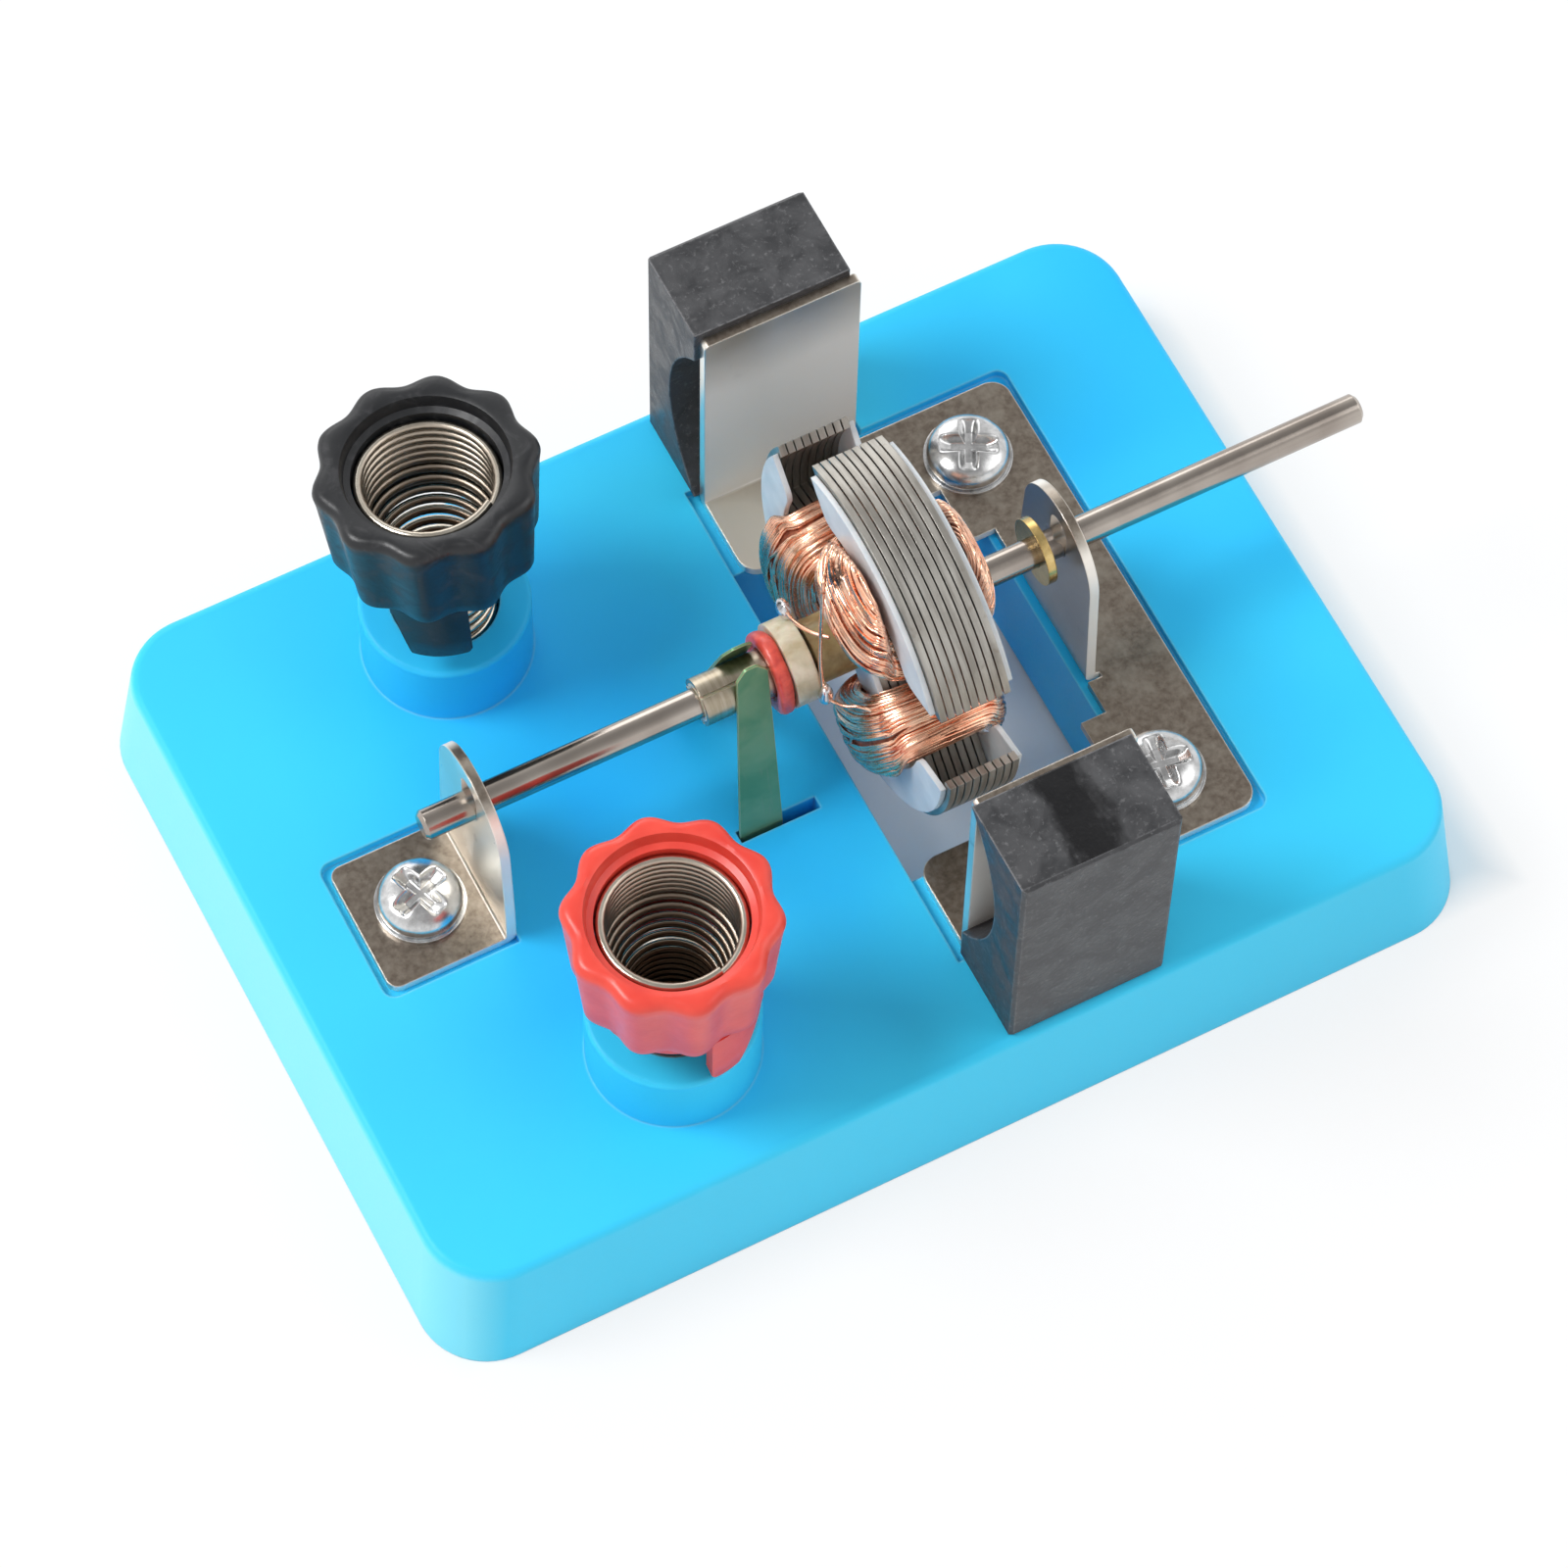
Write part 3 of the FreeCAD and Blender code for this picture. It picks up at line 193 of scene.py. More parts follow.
def newMaterial(name, paint, values):
    # paint returns the wired sockets; values holds its colours, and the plain sockets under fixed
    material = bpy.data.materials.new(name)
    material.use_nodes = True
    shade = Shade(material.node_tree)
    inputs = {**values["fixed"], **paint(shade, values)}
    surface = shade.add("ShaderNodeBsdfPrincipled", inputs=inputs)
    shade.add("ShaderNodeOutputMaterial", inputs={"Surface": surface})
    return material


# the base's moulding

blueMoulding = {
    # deep is painted shade; side and lit are painted light on the outer walls, lit on the left
    # wall; edge is a painted highlight
    "top": (0.046, 0.64, 0.99), "deep": (0.001, 0.40, 1.0), "side": (0.06, 0.68, 1.0),
    "lit": (0.21, 0.80, 1.0), "edge": (0.36, 0.80, 1.0),
    "front": (-16.0, -36.0), "leftEnd": (-24.0, -48.0),  # along y and x, where painted light makes it lighter
    "wallTop": 14.5, "wallX": 44.0, "wallY": 30.0,  # the outer walls lie below and beyond these
    "fixed": {"Specular IOR Level": 0.2, "Subsurface Weight": 0.12, "Subsurface Scale": 0.0015,
              "Subsurface Radius": (0.6, 0.9, 1.0)},
}


def paintBlue(shade, values):
    # broad clouds of deep blue as painted shade, giving way to painted light towards the front and
    # the left end; the outer walls have a painted lighter blue, palest on the left wall, which
    # faces the key lamp, and sharp edges get a painted highlight
    cloud = shade.noise(38.0, 2.0)
    fine = shade.noise(0.35, 2.0)
    x, y = shade.axis("x"), shade.axis("y")
    broad = shade.mix(shade.ramp(cloud, 0.3, 0.72), values["deep"], values["top"])
    # painted light towards the front and the left end, painted shade of deep blue elsewhere
    front = shade.ramp(y, *values["front"])
    leftEnd = shade.ramp(x, *values["leftEnd"])
    light = 1.0 - (1.0 - front) * (1.0 - leftEnd)
    body = shade.mix(0.25 + light * 0.75, broad, values["top"])
    # painted light on the outer walls, lightest on the left one; the walls inside the opening keep
    # the darker body blue
    outside = shade.ramp(x * x, values["wallX"] ** 2, (values["wallX"] + 2) ** 2)
    outside = outside + shade.ramp(y * y, values["wallY"] ** 2, (values["wallY"] + 2) ** 2)
    below = shade.ramp(shade.axis("z"), values["wallTop"] + 0.2, values["wallTop"])
    wall = shade.ramp(shade.facing("z"), 0.92, 0.25) * below * shade.ramp(outside, 0.0, 1.0)
    left = shade.ramp(shade.facing("x"), -0.2, -0.7)
    colour = shade.mix(wall, body, shade.mix(left, values["side"], values["lit"]))
    # a painted highlight along the sharp edges
    colour = shade.mix(shade.edgeMask(0.5) * 0.4, colour, values["edge"])
    return {"Base Color": colour,
            "Roughness": 0.30 + fine * 0.12 + shade.noise(9.0) * 0.06,
            "Normal": shade.bump(fine, 0.012, 0.35, 0.35)}


# sheet with a dull nickel plate

nickelSheet = {
    "plateDark": (0.215, 0.175, 0.140), "plateLight": (0.330, 0.285, 0.235),
    "plateBlotch": (0.42, 0.38, 0.32),
    # a painted highlight on the plate beside the left flap
    "bright": (0.82, 0.77, 0.68), "highlightAt": (3.0, 21.5, 14.6), "highlightReach": 10.0,
    "flapDark": (0.74, 0.69, 0.60), "flapLight": (0.95, 0.91, 0.83),
    "flapBlotch": (0.30, 0.25, 0.19), "edge": (0.86, 0.82, 0.74),
    "support": (0.34, 0.33, 0.33), "supportFrom": (18.0, 20.0),  # painted shade on the right support; where it begins, along x
    "paintedReflection": (1.0, 0.95, 0.87), "reflectionBetween": (45.0, 37.0),  # painted reflection on the magnets' flaps, paler below; its heights along z
    "fixed": {},
}


def paintSheet(shade, values):
    # the flat plate mottled and darker, the bent flaps bright; a painted highlight on the plate by
    # the left flap, painted shade on the right support's faces, and a painted reflection low on the
    # magnets' flaps
    speckle = shade.noise(0.7, 4.0, 0.65)
    blotch = shade.noise(3.4, 3.0, 0.6, 0.4)
    cloud = shade.noise(15.0, 2.0)
    plate = shade.mix(shade.ramp(speckle, 0.36, 0.66), values["plateDark"], values["plateLight"])
    plate = shade.mix(shade.ramp(blotch, 0.50, 0.72) * 0.6, plate, values["plateBlotch"])
    # painted highlight: the plate lighter near the left flap
    bright = shade.spot(values["highlightAt"], values["highlightReach"])
    plate = shade.mix(bright, plate, values["bright"])
    flap = shade.mix(shade.ramp(cloud, 0.35, 0.62), values["flapDark"], values["flapLight"])
    flap = shade.mix(shade.ramp(blotch, 0.66, 0.76) * 0.3, flap, values["flapBlotch"])
    colour = shade.mix(shade.ramp(shade.facing("z"), 0.7, 0.95), flap, plate)
    colour = shade.mix(shade.edgeMask(0.22), colour, values["edge"])
    along, across = shade.facing("x"), shade.facing("y")
    # painted shade on the right support's faces that face along x
    support = shade.ramp(shade.axis("x"), *values["supportFrom"])
    support = shade.ramp(along * along, 0.3, 0.6) * support
    colour = shade.mix(support * 0.85, colour, values["support"])
    # painted reflection: faces along y turn paler and less metallic below a wandering height
    height = shade.axis("z") + cloud * 6.0
    paintedReflection = shade.ramp(across * across, 0.3, 0.6) * shade.ramp(height, *values["reflectionBetween"])
    colour = shade.mix(paintedReflection, colour, values["paintedReflection"])
    return {"Base Color": colour, "Metallic": 0.92 - paintedReflection * 0.75,
            "Roughness": 0.20 + speckle * 0.12 + blotch * 0.10 + paintedReflection * 0.15,
            "Normal": shade.bump(speckle + blotch, 0.02, 0.30, 0.22)}


# block magnets

ferrite = {
    "dark": (0.034, 0.035, 0.038), "light": (0.078, 0.079, 0.083), "grain": (0.16, 0.16, 0.165),
    "edge": (0.30, 0.30, 0.31),
    "smear": (0.004, 0.004, 0.005), "smearLeft": (9.0, 10.2), "smearRight": (15.0, 13.6),
    "fixed": {"Metallic": 0.15},
}


def paintFerrite(shade, values):
    # patches of two greys, pale grains, and edges rubbed pale where they are chipped
    grain = shade.noise(0.5, 4.0, 0.7)
    patch = shade.noise(3.2, 3.0, 0.6, 0.6)
    chips = shade.noise(0.9, 3.0, 0.6)
    colour = shade.mix(shade.ramp(patch, 0.35, 0.7), values["dark"], values["light"])
    colour = shade.mix(shade.ramp(grain, 0.56, 0.70) * 0.7, colour, values["grain"])
    edge = shade.edgeMask(0.35) * shade.ramp(chips, 0.34, 0.52)
    colour = shade.mix(edge * 0.8, colour, values["edge"])
    return {"Base Color": colour,
            "Roughness": 0.38 + shade.ramp(patch, 0.4, 0.62) * 0.24,
            "Normal": shade.bump(grain + patch + chips * 0.5, 0.09, 0.55, 0.3)}


def paintSmearedFerrite(shade, values):
    # as the other magnet, with a dark glossy smear across its top, uneven along both sides
    sockets = paintFerrite(shade, values)
    run = shade.noise(3.0, 3.0, 0.6, 0.0, (1.0, 0.5, 1.0))
    across = shade.axis("x") + run * 5.0
    band = shade.ramp(across, *values["smearLeft"]) * shade.ramp(across, *values["smearRight"])
    band = band * shade.ramp(shade.facing("z"), 0.8, 0.95)
    sockets["Base Color"] = shade.mix(band * 0.9, sockets["Base Color"], values["smear"])
    sockets["Roughness"] = sockets["Roughness"] * (1.0 - band * 0.75)
    return sockets


# finishes of one pattern. noises: size in mm, detail, roughness, distortion and stretch of each;
# base: the noise that runs between two colours, and its range; marks: a noise, its range, the
# share and the colour laid on where it is high; edge: radius and colour of worn edges; gloss: the
# roughness's level, noise and share; relief: the noises added up, depth, strength and rounding

layers = {
    "zinc": {
        "noises": {"swirl": (1.4, 4.0, 0.6)},
        "base": ("swirl", 0.35, 0.7, (0.50, 0.50, 0.50), (0.80, 0.80, 0.80)),
        "gloss": (0.18, "swirl", 0.14), "relief": (("swirl",), 0.015, 0.25, 0.15),
        "fixed": {"Metallic": 1.0}},
    "springWire": {
        "noises": {"grain": (0.6, 3.0), "tone": (4.0, 2.0)},
        "base": ("tone", 0.3, 0.7, (0.50, 0.44, 0.36), (0.74, 0.69, 0.60)),
        "gloss": (0.14, "grain", 0.14), "relief": (("grain",), 0.01, 0.3),
        "fixed": {"Metallic": 1.0}},
    "groundSteel": {  # fine rings round the shaft
        "noises": {"rings": (0.5, 4.0, 0.6, 0.0, (1.0, 0.08, 0.08)), "tone": (7.0, 2.0)},
        "base": ("tone", 0.3, 0.7, (0.35, 0.305, 0.27), (0.52, 0.47, 0.42)),
        "marks": (("rings", 0.62, 0.8, 0.35, (0.22, 0.18, 0.15)),),
        "gloss": (0.13, "rings", 0.10), "relief": (("rings",), 0.006, 0.25, 0.12),
        "fixed": {"Metallic": 1.0}},
    "corePlate": {  # scratched edges, grey-beige faces with a trace of rust
        "noises": {"scratch": (0.7, 4.0, 0.6, 0.0, (1.0, 0.12, 0.12)), "tone": (5.0, 3.0),
                   "rust": (2.2, 4.0, 0.6)},
        "base": ("scratch", 0.35, 0.7, (0.30, 0.28, 0.25), (0.50, 0.48, 0.44)),
        "marks": (("tone", 0.4, 0.75, 0.5, (0.56, 0.55, 0.51)),
                  ("rust", 0.64, 0.8, 0.5, (0.14, 0.085, 0.05))),
        "gloss": (0.34, "scratch", 0.2), "relief": (("scratch",), 0.03, 0.4, 0.1),
        "fixed": {"Metallic": 1.0}},
    "nylon": {
        "noises": {"cloud": (4.0, 3.0), "fine": (0.4, 2.0)},
        "base": ("cloud", 0.3, 0.7, (0.62, 0.66, 0.69), (0.78, 0.81, 0.83)),
        "gloss": (0.26, "fine", 0.14), "relief": (("fine",), 0.01, 0.3, 0.2),
        "fixed": {"Subsurface Weight": 0.25, "Subsurface Scale": 0.001,
                  "Subsurface Radius": (0.6, 0.9, 1.0)}},
    "cream": {
        "noises": {"cloud": (2.4, 4.0, 0.55, 0.5)},
        "base": ("cloud", 0.35, 0.68, (0.54, 0.47, 0.31), (0.78, 0.73, 0.58)),
        "gloss": (0.12, "cloud", 0.16), "relief": (("cloud",), 0.12, 0.5, 0.3),
        "fixed": {"Subsurface Weight": 0.3, "Subsurface Scale": 0.001}},
    "amber": {
        "noises": {"cloud": (2.0, 3.0)},
        "base": ("cloud", 0.35, 0.68, (0.22, 0.15, 0.06), (0.42, 0.33, 0.16)),
        "gloss": (0.24, "cloud", 0.14), "relief": (("cloud",), 0.05, 0.4, 0.2),
        "fixed": {"Subsurface Weight": 0.3, "Subsurface Scale": 0.001}},
    "redRing": {
        "noises": {"cloud": (1.1, 3.0, 0.55, 0.4)},
        "base": ("cloud", 0.35, 0.7, (0.56, 0.050, 0.040), (0.82, 0.11, 0.07)),
        "gloss": (0.28, "cloud", 0.2), "relief": (("cloud",), 0.06, 0.5),
        "fixed": {"Coat Weight": 0.3}},
    "segmentMetal": {  # worn bright by the brushes, with fine rings round it
        "noises": {"rings": (0.45, 4.0, 0.6, 0.0, (1.0, 0.06, 0.06)), "tone": (3.0, 3.0)},
        "base": ("rings", 0.35, 0.7, (0.40, 0.34, 0.25), (0.56, 0.50, 0.40)),
        "marks": (("tone", 0.55, 0.75, 0.5, (0.20, 0.15, 0.10)),),
        "gloss": (0.22, "rings", 0.2), "relief": (("rings",), 0.02, 0.4, 0.1),
        "fixed": {"Metallic": 1.0}},
    "brushStrip": {  # green-grey oxide on the faces, brassy along the cut edges
        "noises": {"tone": (4.5, 3.0, 0.55, 0.5), "grain": (0.5, 3.0, 0.6, 0.0, (1.0, 0.2, 0.1))},
        "base": ("tone", 0.35, 0.65, (0.13, 0.31, 0.155), (0.25, 0.40, 0.21)),
        "marks": (("grain", 0.62, 0.8, 0.35, (0.42, 0.36, 0.28)),),
        "edge": (0.14, (0.76, 0.62, 0.36)),
        "gloss": (0.30, "grain", 0.16), "relief": (("grain",), 0.01, 0.3, 0.12),
        "fixed": {"Metallic": 0.55}},
    "brass": {
        "noises": {"tone": (1.6, 3.0)},
        "base": ("tone", 0.35, 0.7, (0.50, 0.34, 0.12), (0.78, 0.59, 0.26)),
        "gloss": (0.16, "tone", 0.18), "relief": (("tone",), 0.02, 0.3, 0.15),
        "fixed": {"Metallic": 1.0}},
    "redPlastic": {
        "noises": {"fine": (0.5, 3.0), "cloud": (5.0, 3.0)},
        "base": ("cloud", 0.3, 0.7, (0.74, 0.045, 0.030), (0.88, 0.085, 0.055)),
        "gloss": (0.26, "fine", 0.12), "relief": (("fine", "cloud"), 0.03, 0.35),
        "fixed": {"Subsurface Weight": 0.1, "Subsurface Scale": 0.001}},
    "copperGapShade": {  # darker copper on the skin under the wires: painted shade in the gaps between them
        "noises": {"tone": (0.6, 3.0)},
        "base": ("tone", 0.35, 0.65, (0.20, 0.055, 0.03), (0.46, 0.15, 0.08)),
        "gloss": (0.4, "tone", 0.2), "relief": (("tone",), 0.1, 0.6),
        "fixed": {"Metallic": 0.6}},
    "solder": {
        "noises": {"tone": (0.9, 4.0)},
        "base": ("tone", 0.35, 0.7, (0.56, 0.56, 0.58), (0.88, 0.88, 0.90)),
        "gloss": (0.16, "tone", 0.2), "relief": (("tone",), 0.06, 0.5),
        "fixed": {"Metallic": 1.0}},
}


def paintLayers(shade, values):
    noise = {key: shade.noise(*size) for key, size in values["noises"].items()}
    key, low, high, dark, light = values["base"]
    colour = shade.mix(shade.ramp(noise[key], low, high), dark, light)
    for key, low, high, share, mark in values.get("marks", ()):
        colour = shade.mix(shade.ramp(noise[key], low, high) * share, colour, mark)
    if "edge" in values:
        radius, mark = values["edge"]
        colour = shade.mix(shade.edgeMask(radius), colour, mark)
    level, key, share = values["gloss"]
    keys, *relief = values["relief"]
    height = noise[keys[0]]
    for other in keys[1:]:
        height = height + noise[other]
    return {"Base Color": colour, "Roughness": level + noise[key] * share,
            "Normal": shade.bump(height, *relief)}


# enamelled wire: salmon with darker red runs and one burnt mark

copper = {
    "noises": {"tone": (2.6, 3.0, 0.6), "fine": (0.5, 2.0)},
    "base": ("tone", 0.32, 0.68, (0.90, 0.41, 0.25), (1.0, 0.66, 0.48)),
    "marks": (("fine", 0.66, 0.84, 0.35, (0.50, 0.15, 0.08)),),
    "gloss": (0.20, "fine", 0.12), "relief": (("fine",), 0.01, 0.3),
    "burnt": (0.035, 0.015, 0.010), "burntAt": (1.2, -1.15, 44.85), "burntReach": 1.7,
    "fixed": {"Metallic": 1.0, "Coat Weight": 0.4, "Coat Roughness": 0.1},
}


def paintCopper(shade, values):
    sockets = paintLayers(shade, values)
    fine = shade.noise(*values["noises"]["fine"])
    burnt = shade.spot(values["burntAt"], values["burntReach"]) * shade.ramp(fine, 0.36, 0.5)
    sockets["Base Color"] = shade.mix(burnt * 0.9, sockets["Base Color"], values["burnt"])
    return sockets


# the springs' wire on its inner half, darker and browner the deeper it lies: painted shade inside
# the coil

springInsideShade = {
    "high": (0.52, 0.45, 0.37), "low": (0.11, 0.07, 0.045), "between": (39.5, 30.0),
    "fixed": {"Metallic": 1.0},
}


def paintSpringInsideShade(shade, values):
    grain = shade.noise(0.6, 3.0)
    deep = shade.ramp(shade.axis("z"), *values["between"])
    return {"Base Color": shade.mix(deep, values["high"], values["low"]),
            "Roughness": 0.26 + grain * 0.16,
            "Normal": shade.bump(grain, 0.01, 0.3)}


# the black cap's plastic, scuffed pale and dull in places

blackPlastic = {"clean": (0.010, 0.011, 0.013), "scuffed": (0.040, 0.040, 0.044), "fixed": {}}


def paintBlack(shade, values):
    fine = shade.noise(0.5, 3.0)
    scuff = shade.noise(2.6, 4.0, 0.65, 0.8)
    colour = shade.mix(shade.ramp(scuff, 0.55, 0.75), values["clean"], values["scuffed"])
    return {"Base Color": colour,
            "Roughness": 0.30 + shade.ramp(scuff, 0.45, 0.7) * 0.2 + fine * 0.08,
            "Normal": shade.bump(fine + scuff, 0.03, 0.4)}


paints = {name: (paintLayers, values) for name, values in layers.items()}
paints["blueMoulding"] = (paintBlue, blueMoulding)
paints["nickelSheet"] = (paintSheet, nickelSheet)
paints["ferrite"] = (paintFerrite, ferrite)
paints["ferriteSmeared"] = (paintSmearedFerrite, ferrite)
paints["copper"] = (paintCopper, copper)
paints["springInsideShade"] = (paintSpringInsideShade, springInsideShade)
paints["blackPlastic"] = (paintBlack, blackPlastic)
finishes = {name: newMaterial(name, *paint) for name, paint in paints.items()}

nodeFinish = {
    "base": "blueMoulding", "left_bracket": "nickelSheet", "yoke": "nickelSheet",
    "magnet_front": "ferriteSmeared", "magnet_back": "ferrite", "screw_washers": "zinc",
    "contact_screws": "zinc", "brush_front": "brushStrip", "brush_back": "brushStrip",
    "shaft": "groundSteel", "insulator_commutator_side": "nylon", "insulator_drive_side": "nylon",
    "spacer_sleeve": "amber", "commutator_hub": "cream", "thrust_collar": "brass",
}
for name, node in nodes.items():
    finish = nodeFinish.get(name)
    if name.startswith("lamination"):
        finish = "corePlate"
    if name.startswith("commutator_segment"):
        finish = "segmentMetal"
    if finish:
        node.data.materials.clear()
        node.data.materials.append(finishes[finish])
print("finishes made:", len(finishes))


# surfaces

def newPiece(name, points, faces, finish, body, replaced=(), sharp=40.0, picks=None):
    # points in mm; faces are index rows of three or four; finish is one name or several, and picks
    # gives each face's; normals are turned outwards
    mesh = bpy.data.meshes.new(name)
    mesh.from_pydata((np.asarray(points) * mm).tolist(), [], [list(f) for f in faces])
    solid = bmesh.new()
    solid.from_mesh(mesh)
    bmesh.ops.recalc_face_normals(solid, faces=solid.faces)
    solid.to_mesh(mesh)
    solid.free()
    for used in (finish if isinstance(finish, tuple) else (finish,)):
        mesh.materials.append(finishes[used])
    if picks is not None:
        mesh.polygons.foreach_set("material_index", np.asarray(picks, np.int32))
    mesh.shade_smooth()
    mesh.set_sharp_from_angle(angle=math.radians(sharp))
    piece = bpy.data.objects.new(name, mesh)
    bpy.context.scene.collection.objects.link(piece)
    if body:
        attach(piece, body)
    if replaced:
        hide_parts(*replaced)
    return piece


def gridFaces(rows, columns, closeRows, closeColumns):
    # quads over a rows by columns grid of points, wrapped round where asked
    i = np.arange(rows if closeRows else rows - 1)
    j = np.arange(columns if closeColumns else columns - 1)
    i, j = np.meshgrid(i, j, indexing="ij")
    nextI = (i + 1) % rows
    nextJ = (j + 1) % columns
    quads = (i * columns + j, i * columns + nextJ, nextI * columns + nextJ, nextI * columns + j)
    return np.stack(quads, -1).reshape(-1, 4).tolist()


def fanFaces(ring, centre):
    # triangles from a closed ring of point numbers to one point
    ring = np.asarray(ring)
    return np.stack((ring, np.roll(ring, -1), np.full(len(ring), centre)), -1).tolist()


def unit(v):
    # each vector divided by its length
    return v / np.linalg.norm(v, axis=-1, keepdims=True)


def fullTurn(steps):
    # angles evenly spaced round a whole turn
    return np.arange(steps) * 2 * math.pi / steps


def smoothStep(share):
    # 0 to 1 with level ends: three times the square less twice the cube
    share = np.clip(share, 0, 1)
    return share * share * (3 - 2 * share)


def squared(value, power):
    # a sine or cosine raised to a power with its sign kept; a power below 1 makes a circle squarer
    return np.sign(value) * np.abs(value) ** power


def tubeShell(paths, outward, radius, sides, closed):
    # circles of a radius carried along each path, square to it; outward sets where each starts
    if closed:
        along = unit(np.roll(paths, -1, 1) - np.roll(paths, 1, 1))
    else:
        along = unit(np.gradient(paths, axis=1))
    first = unit(outward - along * np.sum(outward * along, -1, keepdims=True))
    second = np.cross(along, first)
    turn = fullTurn(sides)[:, None]
    circle = first[..., None, :] * np.cos(turn) + second[..., None, :] * np.sin(turn)
    points = (paths[..., None, :] + circle * radius).reshape(-1, 3)
    count, steps = paths.shape[:2]
    size = steps * sides
    one = np.asarray(gridFaces(steps, sides, closed, True))
    faces = (one[None] + (np.arange(count) * size)[:, None, None]).reshape(-1, 4).tolist()
    if not closed:
        ends = paths[:, (0, -1)].reshape(-1, 3)
        for n in range(count):
            top = n * size + size - sides
            faces += fanFaces(n * size + np.arange(sides), len(points) + 2 * n)
            faces += fanFaces(top + np.arange(sides), len(points) + 2 * n + 1)
        points = np.concatenate((points, ends))
    return points, faces


def joined(shells):
    # several (points, faces) shells as one
    points, faces, start = [], [], 0
    for some, quads in shells:
        points.append(some)
        faces += [[k + start for k in quad] for quad in quads]
        start += len(some)
    return np.concatenate(points), faces


# windings: loops of thin wire laid side by side round each stem

winding = {
    "left": 3.60, "right": 12.14, "stemHalf": 2.6,  # the stem's ends on the shaft, half its width
    "foot": 5.5, "stemHigh": 9.0, "slotCrown": 13.35,  # distances from the shaft's axis
    "sideThick": 5.1, "leftThick": 3.45, "rightThick": 2.75,  # of the bundle round the stem
    "stemSquare": 0.6, "bundleSquare": 0.62,
    # the crown's swell: where it begins past the stem's ends, and over how far; the middle swells
    # sooner and more than the flanks
    "swellFrom": 0.05, "swellOver": 1.7, "swellSooner": 0.7, "flankSwell": 0.55,
    "crownHalf": 11.0, "crownFade": 10.0,
    "level": 1.0, "fall": 1.15, "fallBulge": 3.3,  # its fall after the level part, at this bulge
    "wire": 0.19, "loops": 96, "steps": 100, "sides": 6, "skinRows": 30, "skinDepth": 0.6,
    "spread": 0.97, "jitter": 0.010, "reach": 0.985,  # of the loops from foot to crown
    "crossing": 2.2, "crossingShare": 0.14,  # some loops wander more than the others
    "waves": ((1, 0.028), (2, 0.018), (3, 0.006)), "depth": (0.18, 0.52), "ripple": 0.05,
    "firstSeed": 11,
}
# each pole's turn in degrees, and how far its crown rises beyond the end plates
poles = {"winding_1": (105.0, 4.4), "winding_2": (225.0, 0.9), "winding_3": (345.0, 1.5)}


def evenContour():
    # outline of a stem and its normals: a squarish oval, half sizes times cosine and sine to a
    # power, at points evenly spaced on a loop that runs 3 mm outside it
    turn = np.linspace(0, 2 * math.pi, 4001)
    c, s = np.cos(turn), np.sin(turn)
    a = (winding["right"] - winding["left"]) / 2 + 0.1
    b = winding["stemHalf"]
    power = winding["stemSquare"]
    x, t = a * squared(c, power), b * squared(s, power)
    nx, nt = squared(c, 2 - power) / a, squared(s, 2 - power) / b
    size = np.hypot(nx, nt)
    nx, nt = nx / size, nt / size
    step = np.hypot(np.diff(x + 3 * nx), np.diff(t + 3 * nt))
    reach = np.concatenate(([0], np.cumsum(step)))
    even = np.linspace(0, reach[-1], winding["steps"], endpoint=False)
    return [np.interp(even, reach, values)[None] for values in (x, t, nx, nt)]


def bundlePlace(lift, depth, contour, bulge):
    # a point depth mm below the bundle's skin: lift runs from -1 at the foot over the outside to 1
    # at the crown. It stands out from the stem by the thickness times the lift's cosine and rises
    # from foot to crown with its sine, both to a power. Past the stem's ends the crown swells by
    # bulge, and then falls straight
    x0, t0, nx, nt = contour
    end = np.where(nx < 0, winding["leftThick"], winding["rightThick"])
    thick = winding["sideThick"] * nt ** 2 + end * nx ** 2 - depth
    angle = lift * math.pi / 2
    out = thick * np.maximum(np.cos(angle), 0) ** winding["bundleSquare"]
    rise = squared(np.sin(angle), winding["bundleSquare"])
    x = (winding["left"] + winding["right"]) / 2 + x0 + nx * out
    t = t0 + nt * out
    beyond = np.maximum(winding["left"] - x, x - winding["right"]) - winding["swellFrom"]
    middle = smoothStep((winding["crownHalf"] - np.abs(t)) / winding["crownFade"])
    swell = smoothStep(beyond / (winding["swellOver"] - winding["swellSooner"] * middle))
    swell = swell * (winding["flankSwell"] + (1 - winding["flankSwell"]) * middle)
    fall = winding["fall"] * np.maximum(beyond - winding["level"], 0) / winding["fallBulge"]
    crown = winding["slotCrown"] + bulge * (swell - fall) - depth
    high = np.sqrt(crown ** 2 - t ** 2)
    low = winding["foot"] + depth + 0.25 * nx ** 2
    return np.stack((x, t, low + (high - low) * (0.5 + 0.5 * rise)), -1)


def onPole(points, turn):
    # from (along the shaft, across the pole, out from the shaft) to the motor's own axes
    a = math.radians(turn)
    x, t, r = points[..., 0], points[..., 1], points[..., 2]
    y = r * math.cos(a) - t * math.sin(a)
    z = r * math.sin(a) + t * math.cos(a) + shaftHeight
    return np.stack((x, y, z), -1)


